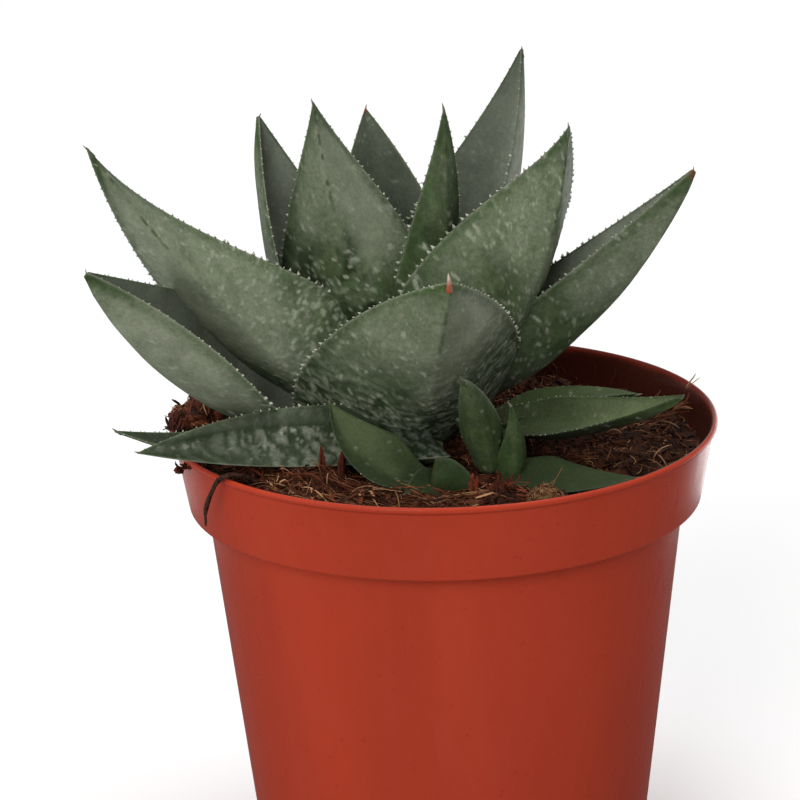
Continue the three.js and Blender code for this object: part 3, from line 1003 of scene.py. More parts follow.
@dataclass(frozen=True)
class Leaf:
    """One leaf: its form as in the solid of its name, and its marks."""

    name: str
    crown: Crown
    heading: float
    turn: float
    rise: tuple
    length: float
    half: float
    full: float
    roll: float
    twist: float
    fold: tuple
    thick: float
    level: float
    seat: float = 3.5
    base: float = 0.42
    foot_share: float = 0.35  # share of the length over which the base widens
    back: float = 0.0  # how far behind its stem the leaf starts
    marks: Marks = Marks()

    @property
    def seed(self) -> int:
        """A number of the leaf's own to draw its irregularities from."""
        return sum(ord(letter) * (i + 7) for i, letter in enumerate(self.name))

    @property
    def slot(self) -> Slot:
        """The material slot that the leaf takes its finish from."""
        return Slot.LEAF if self.crown in (Crown.MAIN, Crown.LOW) else Slot.OFFSET

    def foot_at(self, s: Array) -> Array:
        """Return the share of its full breadth that the leaf's foot leaves it."""
        return mix(self.base, 1, smooth(s, 0, self.foot_share))

    def half_at(self, s: Array) -> Array:
        """Return half the width in millimetres at shares of the length."""
        return self.half * (1 - s**self.full) * self.foot_at(s)

    def thick_at(self, s: Array) -> Array:
        """Return the thickness in millimetres at shares of the length."""
        thinned = 1 - BLADE.thinning * s**BLADE.thinning_power
        return self.thick * thinned * mix(BLADE.foot_thick, 1, self.foot_at(s))

    def frames(self, s: Array) -> tuple[Array, Array, Array, Array]:
        """Return the middle line and its directions.

        Args:
            s: Shares of the length, rising.

        Returns:
            Points in millimetres and the directions ahead, sideways and up, one row each.
        """

        def ahead_at(t: Array) -> tuple[Array, Array, Array]:
            """Return the way the leaf grows, its heading and its rise."""
            a = np.radians(self.heading + self.turn * t)
            r = np.radians(mix(*self.rise, t))
            return pointing(a, r), a, r

        x, y = self.crown.value
        h = math.radians(self.heading)
        x, y = x + self.seat * math.cos(h), y + self.seat * math.sin(h) + self.back
        start = np.array([x, y, RIM + self.level])
        fine = np.linspace(0, 1, BLADE.steps + 1)
        steps = ahead_at((fine[1:] + fine[:-1]) / 2)[0] * self.length / BLADE.steps
        line = np.vstack([start, start + np.cumsum(steps, 0)])
        points = np.stack([np.interp(s, fine, line[:, i]) for i in range(3)], -1)
        ahead, a, r = ahead_at(s)
        up = np.stack([-np.sin(r) * np.cos(a), -np.sin(r) * np.sin(a), np.cos(r)], -1)
        side = np.cross(ahead, up)
        turn = -np.radians(self.roll + self.twist * s)[:, None]
        rolled = side * np.cos(turn) + np.cross(ahead, side) * np.sin(turn)
        return points, ahead, rolled, up * np.cos(turn) + np.cross(ahead, up) * np.sin(turn)

    def columns(self, half: Array) -> tuple[Array, Array]:
        """Return where the points of a ring lie across the leaf.

        Args:
            half: Half the width of each ring, in millimetres.

        Returns:
            Their place from -1 to 1, rings by sides, and for each side whether it is on the
            outer face; the outer face runs from one margin to the other and the inner one back.
        """
        rims = np.array([0.0, 0.12, 0.32, 0.6])  # millimetres from the margin
        count = int(max(7, self.half * 2 / BLADE.fine)) | 1
        most = np.minimum(0.28, rims[-1] / half)
        margin = most[:, None] * rims / rims[-1]
        middle = (1 - most)[:, None] * np.linspace(-1, 1, count)[1:-1]
        inner = (1 - most)[:, None] * np.linspace(1, -1, max(5, int(count * 0.7)) | 1)[1:-1]
        outer_face = np.hstack([-1 + margin, middle, 1 - margin[:, ::-1]])
        inner_face = np.hstack([1 - margin[:, 1:], inner, -1 + margin[:, :0:-1]])
        outer = np.r_[np.ones(outer_face.shape[1], bool), np.zeros(inner_face.shape[1], bool)]
        return np.hstack([outer_face, inner_face]), outer

    def shape(self, s: Array, u: Array, outer: Array, raised: Array) -> Array:
        """Return points of the leaf's surface.

        Args:
            s: Share of the length of each ring.
            u: Place across, rings by sides.
            outer: Whether each side is on the outer face.
            raised: Relief in millimetres, rings by sides.

        Returns:
            Points in millimetres, rings by sides by 3.
        """
        points, _, side, up = self.frames(s)
        half = self.half_at(s)[:, None]
        fold = np.radians(mix(*self.fold, s))[:, None]
        away = np.abs(u)
        body = self.thick_at(s)[:, None] * (1 - away ** mix(*BLADE.keel, s)[:, None])
        edge = np.minimum(BLADE.edge, half * 0.4)
        rim = np.clip((away - 1) * half / (2 * edge) + 1, 0, 1)
        rounded = edge * np.sqrt(1 - rim**2)
        lift = np.where(outer[None], -body - rounded, rounded)
        across = u * half * np.cos(fold)
        rise = half * np.sin(fold) * away**BLADE.cup + lift
        # Relief stands square to the face: mostly up or down, and sideways on the flanks of the keel.
        slope = np.where(outer[None], -0.75, 1.0)
        flank = np.where(outer[None], np.sign(u) * 0.6 * smooth(away, 0.02, 0.4), 0)
        shape = points[:, None] + side[:, None] * (across + flank * raised)[..., None]
        return shape + up[:, None] * (rise + slope * raised)[..., None]

    def specks(self, along: Array, across: Array, chance: Array, size: float, seed: int) -> Array:
        """Return one layer of pale specks, which stand in uneven rows across the leaf.

        Args:
            along: Millimetres from the foot.
            across: Millimetres from the middle line.
            chance: How likely a speck is.
            size: Size of a speck against the common one.
            seed: What its irregularities are drawn from.

        Returns:
            How far each point is in a speck, from 0 to 1.
        """
        cells = BLADE.speck_cells
        draws = np.random.default_rng(self.seed + seed).uniform(size=(7, cells, cells))
        row_pitch, pitch = 2.1 * size, 1.75 * size
        row, cell = np.floor(along / row_pitch), np.floor(across / pitch)
        best = np.zeros(np.broadcast(along, across).shape)
        for i in (-1, 0, 1):
            for j in (-1, 0, 1):
                a, b = (row + i).astype(int) % cells, (cell + j).astype(int) % cells
                jitter, slip, wide, tall, present, force, tilt = draws[:, a, b]
                centre = (row + i + 0.5 + 0.6 * (jitter - 0.5)) * row_pitch
                middle = (cell + j + 0.5 + 0.9 * (slip - 0.5)) * pitch
                wide = size * mix(0.35, 1.0, wide**1.4)
                tall = size * mix(0.26, 0.52, tall)
                dx, dy = across - middle, along - centre
                dy = dy + (tilt - 0.5) * 0.7 * dx
                far = np.sqrt((dx / wide) ** 2 + (dy / tall) ** 2)
                strength = (1 - smooth(far, 0.5, 1.15)) * mix(0.35, 1, force) * (present < chance)
                best = np.maximum(best, strength)
        return best

    def spots(self, along: Array, across: Array, share: Array) -> Array:
        """Return the pale spots, large and small.

        Args:
            along: Millimetres from the foot.
            across: Millimetres from the middle line.
            share: Share of the length.

        Returns:
            How far each point is in a spot, from 0 to 1.
        """
        noise = Lattice(self.seed + 1)
        ragged = 0.3 * noise.at(across / 0.7, along / 0.7, 5)
        along = along + 1.4 * noise.at(across / 6, along / 9) + 0.5 * noise.at(across / 2, along / 3, 3)
        along = along + ragged
        across = across + 0.8 * noise.at(across / 4, along / 4, 7) + ragged
        chance = mix(self.marks.spots_foot, self.marks.spots_tip, smooth(share, 0.12, 0.72))
        chance = chance * (1 + 0.9 * noise.at(across / 8, along / 6, 9))
        large = self.specks(along, across, chance * 0.8, self.marks.spot_size, 0)
        small = self.specks(along, across, chance * 0.9, self.marks.spot_size * 0.55, 13)
        return np.maximum(large, 0.75 * small)

    def ridges(self, along: Array, across: Array, share: Array) -> Array:
        """Return the raised wavy rows across the lower part of a broad leaf.

        Args:
            along: Millimetres from the foot.
            across: Millimetres from the middle line.
            share: Share of the length.

        Returns:
            How far each point is on a row, from 0 to 1.
        """
        noise = Lattice(self.seed + 2)
        bent = along + 1.7 * noise.at(across / 5, along / 14) + 1.0 * noise.at(across / 2.1, along / 6, 4)
        bent = bent + 0.35 * noise.at(across / 0.9, along / 2, 6)
        wave = 0.5 + 0.5 * np.sin(2 * np.pi * bent / self.marks.row_pitch)
        broken = smooth(noise.rough(across / 2.1, along / 1.7, 11, 2), -0.6, 0.3)
        fade = 1 - smooth(share, self.marks.rows_end * 0.75, self.marks.rows_end * 1.1)
        narrow = 1 - smooth(share, 0.08, 0.4)
        crests = smooth(wave, mix(0.1, 0.2, narrow), mix(0.55, 0.75, narrow))
        return crests * broken * fade * self.marks.rows

    def skin(self, s: Array, u: Array, outer: Array) -> tuple[Array, dict[str, Array]]:
        """Return the relief and the marks of the skin.

        Args:
            s: Share of the length of each ring.
            u: Place across, rings by sides.
            outer: Whether each side is on the outer face.

        Returns:
            Relief in millimetres, and masks by the names the finish reads.
        """
        look = self.marks
        noise = Lattice(self.seed)
        half = self.half_at(s)[:, None]
        share = np.broadcast_to(s[:, None], u.shape)
        across = u * half + np.where(outer[None], 0, BLADE.inner_shift)
        along = share * self.length
        face = np.broadcast_to(outer[None], u.shape)
        edge = (1 - np.abs(u)) * half
        keel = np.where(face, np.abs(u) * half, 9.0)
        spot = self.spots(along, across, share) * np.where(face, 1.0, look.inner_marks)
        rowed = np.where(face, 1.0, look.inner_rows)
        row = self.ridges(along, across, share) * rowed
        fade = smooth(share, look.rows_end * 0.25, look.rows_end * 0.8)
        pale = np.maximum(spot * mix(0.9, 0.55, smooth(share, 0.2, 0.95)), row * mix(0.4, 0.1, fade))
        fading = smooth(edge, 0.3, 1.2) * (1 - smooth(share, 0.93, 0.99))
        swell = noise.at(across / 9, along / 12, 2) * 0.22 + noise.at(across / 3, along / 4, 6) * 0.05
        raised = (swell + 0.12 * spot + 0.25 * row) * fading
        raised = raised * smooth(s, 0.0, 0.06)[:, None]
        blotch = noise.rough(across / 3.2, along / 4.5, 3, 3)
        end = look.mottle_end
        low = 1 - smooth(share + 0.12 * noise.at(across / 6, along / 9, 5), end * 0.6, end * 1.25)
        dark = low * look.mottle * smooth(blotch, -0.35, 0.45) * np.where(face, 1, look.inner_marks)
        ended = 1 - smooth(share, look.rows_end * 0.4, look.rows_end * 1.1)
        dark = np.maximum(dark, 0.8 * (look.rows * rowed - row) * ended)
        dashes = noise.at(along / 1.3, across / 2, 8) + 0.35 * noise.at(along / 5, 0 * across, 1)
        started = smooth(share, look.keel_start, look.keel_start + 0.15)
        line = (1 - smooth(keel, 0.1, 0.75)) * smooth(dashes, -0.25, 0.2) * started
        dark = np.maximum(dark, line * look.keel)
        # Painted shade darkens the foot and a margin that turns away, and dims the pale marks there.
        painted_shade = look.painted_shade * (1 - smooth(share + 0.05 * blotch, look.painted_shade_end * 0.3, look.painted_shade_end))
        turned = abs(look.under) * smooth(np.sign(look.under) * u + 0.15 * blotch, -0.1, 0.7)
        painted_shade = np.maximum(painted_shade, turned)
        dark = np.maximum(dark, painted_shade)
        pale = pale * (1 - 0.5 * painted_shade)
        green = look.green_tip * smooth(share, 0.82, 0.97)
        green = green + 0.55 * (1 - smooth(edge, 0.5, 2.4 + 1.2 * blotch))
        green = np.maximum(green, 0.55 * line)
        bloom = look.bloom * (1 - np.clip(green, 0, 1)) * (1 - 0.75 * low * (1 - 0.4 * spot))
        veins = noise.at(across / 0.45, along / 9, 14) + 0.6 * noise.at(across / 1.1, along / 14, 15)
        blotch = blotch + look.streaks * 1.1 * veins
        # One half loses bloom: partly thinner wax, partly painted shade on that side.
        half_side_shade = 1 - abs(look.shaded_half) * smooth(np.sign(look.shaded_half) * -u, -0.25, 0.3)
        bloom = np.clip(bloom + 0.14 * blotch, 0, 1) * half_side_shade
        # The band inside the near margin is a dark green edge deepened with painted shade.
        band = (1 - smooth(edge, 2.0, 3.6 + 0.8 * blotch)) * look.margin_shade_band * ~face * (u < 0)
        if look.crease:
            # The crease is a groove, and the dark line along it is painted shade.
            fold = (1 - smooth(np.abs(u - look.crease) * half, 0.1, 1.1)) * ~face
            fold = fold * (1 - smooth(share, 0.8, 0.97))
            raised = raised - 0.5 * fold
            dark = np.maximum(dark * (1 - 0.7 * (u > look.crease)), 0.75 * fold)
            pale = pale * (1 - 0.8 * (u > look.crease))
        values = {
            "pale": pale,
            "dark": np.maximum(np.clip(dark, 0, 1) * (1 - 0.75 * np.clip(pale, 0, 1)), band),
            "bloom": bloom,
            "inner": np.where(face, 0.0, 1.0) * smooth(edge, 0.1, 0.7),
            # Near the foot the inner face may be lighter: painted light on a place in shade.
            "fair": mix(max(look.fair, look.painted_light_foot), look.fair, smooth(share, 0.35, 0.6)),
            "horn": (1 - smooth(edge, 0.05, 0.2)) * look.margin,
            "rust": look.rust * smooth(share + 0.006 * blotch, 0.97, 0.99),
            "dirt": (1 - smooth(share, 0.02, 0.12)) * look.dirt,
        }
        return raised, values

    def build(self, material: Material) -> None:
        """Make the leaf's blade.

        Args:
            material: The leaf skin.
        """
        rings = int(self.length / BLADE.fine)
        s = np.linspace(0, 1, rings + 1) ** 0.93 * BLADE.last
        s = np.unique(np.concatenate([s, np.linspace(0.93, BLADE.last, int(self.length / 8) + 4)]))
        u, outer = self.columns(self.half_at(s))
        raised, values = self.skin(s, u, outer)
        grid = self.shape(s, u, outer, raised)
        ahead = self.frames(s)[1]
        along = np.broadcast_to(s[:, None], u.shape) * self.length
        chart = np.stack([u * self.half_at(s)[:, None] * MM, along * MM], -1)
        start, end = grid[0].mean(0) - ahead[0] * 0.3, grid[-1].mean(0) + ahead[-1] * 0.3
        mesh = closed_skin(self.name, grid, start, end, values, chart)
        place("skin_" + self.name, mesh, material, (self.name,))

    def line_at(self, s: Array, across: float) -> Array:
        """Return the line on the outer face at a place across, at shares of the length."""
        u = np.full((len(s), 1), across)
        return self.shape(s, u, np.array([True]), np.zeros_like(u))[:, 0]

    def add_teeth(self, lines: Lines) -> None:
        """Add the lines that the teeth of this leaf stand on.

        Args:
            lines: Where they are gathered.
        """
        look = self.marks
        if look.teeth <= 0:
            return
        s = np.linspace(0.06, 0.965, 160)
        _, ahead, side, up = self.frames(s)
        fold = np.radians(mix(*self.fold, s))[:, None]
        noise = Lattice(self.seed + 5)
        for sign in (-1.0, 1.0):
            if sign == look.bare:
                continue
            out = side * np.cos(fold) * sign + up * np.sin(fold) * 1.1 + ahead * 0.35
            size = look.teeth * mix(1.0, 0.4, smooth(s, 0.35, 0.97))
            size = size * (1 + 0.3 * noise.at(s * 25, sign * 3.3 + 0 * s))
            lines.add(self.line_at(s, sign), out=out, size=size)
        if look.keel_teeth > 0:
            s = np.linspace(look.keel_start + 0.1, 0.95, 100)
            _, ahead, side, up = self.frames(s)
            size = look.keel_teeth * mix(0.75, 0.35, s)
            lines.add(self.line_at(s, 0.0), out=-up + ahead * 0.4, size=size)

    def spine(self) -> tuple[Array, Array, Array, dict[str, Array]]:
        """Return the rings, end points and colours of the spine at the tip."""
        s = np.array([0.97, BLADE.last])
        points, ahead, side, up = self.frames(s)
        length, radius, foot_tint, end_tint = self.marks.tip.value
        foot = points[0] - up[0] * self.thick_at(s)[0] * 0.75
        way = ahead[1] + 0.08 * side[1]
        reach = np.linalg.norm(points[1] - points[0]) + length
        t = np.linspace(0, 1, 14)
        bend = 0.06 * reach * np.outer(t**2, side[1] * 1.5 + up[1])
        path = foot + np.outer(t, (points[1] + way * length) - foot) + bend
        radii = radius * np.maximum(1 - t, 0) ** 0.75 + 0.035
        turn = full_turn(10)
        ring = side[1] * np.cos(turn)[:, None] + up[1] * np.sin(turn)[:, None]
        grid = path[:, None] + ring[None] * radii[:, None, None]
        tint = mix(np.array(foot_tint), np.array(end_tint), smooth(t, 0.3, 0.95)[:, None])
        return grid, path[0] - ahead[0] * 0.1, path[-1] + way * 0.08, tint


def join_skins(name: str, parts: list) -> Mesh:
    """Join several closed bodies of rings, with a colour at each ring, into one mesh.

    Args:
        name: The mesh's name.
        parts: For each body its rings, the points beyond its two ends and a colour for each ring.

    Returns:
        The mesh.
    """
    points, quads, triangles, tints, count = [], [], [], [], 0
    for grid, start, end, tint in parts:
        rings, sides = grid.shape[:2]
        inner = rings * sides
        points += [grid.reshape(-1, 3), start[None], end[None]]
        quads.append(skin_faces(rings, sides) + count)
        triangles.append(cap_faces(count, sides, count + inner, False))
        triangles.append(cap_faces(count + inner - sides, sides, count + inner + 1, True))
        tints += [np.repeat(tint, sides, 0), tint[:1], tint[-1:]]
        count += inner + 2
    values = {"tint": np.vstack(tints)}
    return build_mesh(name, np.vstack(points), np.vstack(quads), np.vstack(triangles), values)


YOUNG = Marks(fair=0.06, bloom=0.42, spots_foot=0.1, spots_tip=0.1, spot_size=0.8, mottle=0.35,
              mottle_end=0.7, margin=0.05, teeth=0.5, keel=0.0, streaks=0.9, dirt=0.05, green_tip=0.2)
# Small offsets sit in deep shade, so painted shade covers their whole length.
SMALL = replace(YOUNG, teeth=0.0, bloom=0.12, spots_foot=0.0, spots_tip=0.0, painted_shade=0.75, painted_shade_end=1.6)

LEAVES = (
    Leaf("leaf_heart", Crown.MAIN, 140, 0, (80, 86), 30, 4.5, 1.7, 0, 10, (20, 40), 2.6, 5,
         marks=Marks(bloom=0.4, teeth=0.6)),
    Leaf("leaf_young", Crown.MAIN, 332, -9, (73, 92), 57, 9.5, 1.9, 10, 42, (25, 46), 3.6, 4.5,
         marks=Marks(bloom=0.25, spots_foot=0.3, spots_tip=0.1, keel=0.15, keel_start=0.5, mottle=0.75,
                     mottle_end=0.8)),
    Leaf("leaf_centre_left", Crown.MAIN, 206, 3, (72, 82), 60, 17.5, 2.3, -66, 5, (3, 66), 5.5, 4.5, base=0.6,
         marks=Marks(bloom=0.92, spots_foot=0.95, spots_tip=0.15, keel=0.55, keel_start=0.6, keel_teeth=0.3,
                     shaded_half=-0.42, mottle=0.95, mottle_end=0.52, spot_size=1.15, painted_shade=0.5, painted_shade_end=0.4)),
    Leaf("leaf_back_centre", Crown.MAIN, 102, 5, (68, 70), 56, 17, 2.1, -3, 3, (14, 28), 5, 1,
         marks=Marks(tip=Tip.BROWN, rust=0.8, fair=0.2)),
    Leaf("leaf_back_left", Crown.MAIN, 169, -10, (47, 92), 67.5, 17, 2.6, 14, 6, (20, 46), 5.7, -5,
         marks=Marks(bloom=0.3, margin_shade_band=0.9, fair=0.68)),
    Leaf("leaf_back_right", Crown.MAIN, 29, 2, (47, 90), 69, 19, 2.15, 4, -27, (33, 58), 6, 4,
         marks=Marks(bloom=0.8, spots_foot=0.6, keel=0.5, keel_start=0.4, keel_teeth=0.3, fair=0.75)),
    Leaf("leaf_centre_right", Crown.MAIN, 331, -23, (35, 80), 72.5, 21, 2.5, 6, 31, (16, 70), 6.2, 0.6,
         back=5.7,
         marks=Marks(bloom=0.42, spots_foot=0.9, spots_tip=0.4, teeth=1.3)),
    Leaf("leaf_upper_left", Crown.MAIN, 215, -15, (33, 59), 89, 17, 1.95, -43, -57, (26, 65), 6.2, -2,
         marks=Marks(bloom=0.9, shaded_half=0.3, spots_foot=0.95, spots_tip=0.25, keel=0.3, mottle=0.35,
                     mottle_end=0.35)),
    Leaf("leaf_right", Crown.MAIN, 346, -7, (22, 62), 76, 15.8, 2.1, -1, -13, (27, 62), 6.3, -1.2, back=7.0,
         marks=Marks(bloom=0.66, spots_foot=0.4, mottle=0.2, mottle_end=0.6, rust=0.5, tip=Tip.BROWN,
                     fair=0.9)),
    Leaf("leaf_front", Crown.MAIN, 281, 5, (37, 57), 58, 25, 2.5, -9, 14, (14, 37), 7, -4.7, base=0.85,
         back=-2.4,
         marks=Marks(bloom=0.9, shaded_half=-0.36, spots_foot=0.9, spots_tip=0.3, rows=1.0, rows_end=0.62,
                     tip=Tip.SPINE, keel=0.1, painted_shade=0.75, painted_shade_end=0.3)),
    Leaf("leaf_lower_left", Crown.MAIN, 206, 20, (9.5, 57), 81.5, 20, 2.95, 35, -13, (14, 58), 6.5, -3.6,
         base=0.3,
         foot_share=0.68,
         marks=Marks(bloom=0.85, spots_foot=0.7, spots_tip=0.05, mottle=0.4, painted_light_foot=1.0)),
    Leaf("leaf_behind_right", Crown.MAIN, 66, 0, (10, 28), 56, 15, 2.1, 0, 0, (18, 40), 6, -3),
    Leaf("leaf_behind_left", Crown.MAIN, 128, 0, (8, 22), 52, 15, 2.1, 0, 0, (18, 40), 6, -4),
    Leaf("leaf_low_left", Crown.LOW, 203, -2, (9.5, 1.5), 59.5, 9, 2.3, 15, 36, (7, 5), 4.5, 0.6, seat=0.0,
         base=0.95,
         marks=Marks(bloom=0.6, spots_foot=0.9, spots_tip=0.35, spot_size=1.2, mottle=0.8, mottle_end=0.9,
                     dirt=0, fair=0.0, inner_marks=0.75, crease=0.45, teeth=0.75, bare=-1, under=-0.7,
                     painted_shade=0.95, painted_shade_end=0.6, rows=1.0, inner_rows=1.0, rows_end=1.0, row_pitch=3.0)),
    Leaf("leaf_low_outer", Crown.MAIN, 219, -6, (-1, 25), 64.5, 6.5, 1.8, 23, 20, (14, 19), 3.5, -4.5,
         marks=Marks(bloom=0.3, fair=0.05, spots_foot=0.9, spots_tip=0.5)),
    Leaf("offset_right_long", Crown.RIGHT, -20, -30, (3, 31), 44.5, 6.1, 1.8, -47, 16, (37, 40), 4.8, 0, 1.5,
         0.6,
         marks=replace(YOUNG, fair=0.42, painted_shade=0.6, painted_shade_end=0.75, streaks=1.0)),
    Leaf("offset_right_back", Crown.RIGHT, 19, 0, (15, -8), 29, 5.9, 1.75, -5, -3, (15, 21), 3.5, 0.5, 1.5,
         0.6, marks=YOUNG),
    Leaf("offset_right_dark", Crown.RIGHT, 205, -10, (35, 75), 15, 4, 1.8, 0, 0, (15, 30), 3, -1, 1.5, 0.6,
         marks=YOUNG),
    Leaf("offset_middle_upright", Crown.MIDDLE, 241, 11, (78, 42), 25, 4.8, 2, -29, -4, (16, 31), 3.5, -4.3,
         1.5, 0.6,
         marks=replace(YOUNG, bloom=1.0, teeth=0.25, streaks=0.8)),
    Leaf("offset_middle_right", Crown.MIDDLE, 323, 5, (50, 112), 19, 4.5, 1.7, 26, 8, (20, 27), 3, -9.5,
         1.5, 0.6,
         marks=replace(YOUNG, bloom=0.3, teeth=0.15, spots_foot=0.0, spots_tip=0.0, streaks=1.0)),
    Leaf("offset_middle_low", Crown.MIDDLE, 310, 60, (2, 4), 29, 9.2, 1.75, -9, 0, (9, 6), 3.5, -5.5, 1.5,
         0.6, marks=SMALL),
    Leaf("offset_left_boat", Crown.LEFT, 177, -8, (12, 69), 27, 9.3, 1.8, 7, 45, (17, 17), 5, -3.9, 1.5,
         0.42, 0.5,
         marks=replace(YOUNG, fair=0.25, teeth=0.4, bare=1, under=-0.85, painted_shade=0.8, painted_shade_end=0.55,
                       spots_foot=0.05)),
    Leaf("offset_left_front", Crown.LEFT, 222, 0, (18, -12), 8.5, 4.3, 1.6, 38, 0, (15, 25), 3, -2.8, 1.8,
         0.8, marks=SMALL),
    Leaf("offset_left_right", Crown.LEFT, 338, 0, (-2, -22), 8.5, 5.4, 2.4, 62, 0, (15, 15), 4, -2, -1.5,
         0.85, marks=SMALL),
)


@dataclass
class Foliage:
    """All the leaves with their teeth and spines."""

    skin: LeafSkin = LeafSkin()
    young_skin: LeafSkin = LeafSkin(
        name="young leaf skin",
        bloom=tone(0.16, 0.195, 0.105),
        flesh=tone(0.04, 0.07, 0.02),
        inner=tone(0.05, 0.072, 0.026),
        fair=tone(0.2, 0.235, 0.125),
    )
    horn: Horn = Horn()
    spine: SpineSkin = SpineSkin()
    tooth: tuple = (0.72, 0.4)  # height and foot radius in millimetres
    pitch: float = 1.75
    offset_share: float = 0.62  # size of an offset's teeth against those of the rosette

    def teeth(self, leaves: list[Leaf], slot: Slot, share: float, tree: object, horn: object) -> None:
        """Stand the teeth on the margins of some leaves.

        Args:
            leaves: The leaves.
            slot: The leaves' material slot, which names the piece.
            share: Size against the full tooth.
            tree: The tree that stands teeth along lines.
            horn: The teeth's material.
        """
        lines = Lines()
        for leaf in leaves:
            leaf.add_teeth(lines)
        inputs = {
            "Pitch": self.pitch * (0.4 + 0.6 * share) * MM,
            "Height": self.tooth[0] * share * MM,
            "Width": self.tooth[1] * share * MM,
            "Seed": 4,
            "Finish": horn,
        }
        name = slot.value + "_teeth"
        place(name, run_tree(name, lines.mesh(name + " lines"), tree, inputs))

    def build(self) -> None:
        """Make the leaves and what grows on them."""
        skins = {Slot.LEAF: self.skin.build(), Slot.OFFSET: self.young_skin.build()}
        horn, dry, tree = self.horn.build(), self.spine.build(), teeth_tree()
        grown = {Slot.LEAF: [], Slot.OFFSET: []}
        for leaf in LEAVES:
            grown[leaf.slot].append(leaf)
            leaf.build(skins[leaf.slot])
        for slot, share in ((Slot.LEAF, 1.0), (Slot.OFFSET, self.offset_share)):
            self.teeth(grown[slot], slot, share, tree, horn)
            name = slot.value + "_spines"
            place(name, join_skins(name, [leaf.spine() for leaf in grown[slot]]), dry)


# ---------------------------------------------------------------- pot, soil and litter


def soil_level(x: Array, y: Array) -> Array:
    """Return the soil's mean level in millimetres, as in the solid."""
    waves = ((0.31, 0.27, 1.3), (0.31, -0.27, 1.3), (0.7, -0.5, 0.0))
    return RIM - 5.2 - 0.035 * x - 0.03 * y + sum(0.4 * np.sin(a * x + b * y + c) for a, b, c in waves)


SOIL_NOISE = Lattice(77)


def heaped(x: Array, y: Array) -> Array:
    """Return how high the coir is heaped along the rim, from the left to the front.

    Args:
        x: First coordinate in millimetres.
        y: Second coordinate in millimetres.

    Returns:
        The height, from 0 to 1.
    """
    far = np.hypot(x, y)
    angle = np.degrees(np.arctan2(y, x)) % 360
    along = smooth(angle, 200, 222) * (1 - smooth(angle, 236, 258))
    uneven = 0.75 + 0.35 * SOIL_NOISE.at(x / 6, y / 6, 3.0)
    return along * smooth(far, 24, 38) * (1 - 0.85 * smooth(far, 42, 50.5)) * uneven


# Places of the soil that a clod or a low leaf covers: x, y and radius in millimetres.
BARE = ((18.5, -38.5, 3.4), (15.0, -21.0, 3.5), (20.0, -24.0, 4.0), (26.0, -26.0, 4.5), (32.0, -28.0, 4.0))


def bared(x: Array, y: Array) -> Array:
    """Return how far points are in a covered place, from 0 to 1."""
    return np.max([1 - smooth(np.hypot(x - a, y - b), radius, radius + 1.5) for a, b, radius in BARE], 0)


def crumbled(x: Array, y: Array) -> Array:
    """Return the level of the loose surface of the soil.

    Args:
        x: First coordinate in millimetres.
        y: Second coordinate in millimetres.

    Returns:
        The level in millimetres.
    """
    lumps = SOIL_NOISE.rough(x / 6.5, y / 6.5, 1.0, 2) * 1.1
    pits = -np.abs(SOIL_NOISE.rough(x / 3.4, y / 3.4, 5.0, 3)) * 2.1
    fine = SOIL_NOISE.rough(x / 1.1, y / 1.1, 9.0, 2) * 0.35
    return soil_level(x, y) + 0.9 + lumps + pits + fine + 2.9 * heaped(x, y) - 1.5 * bared(x, y)


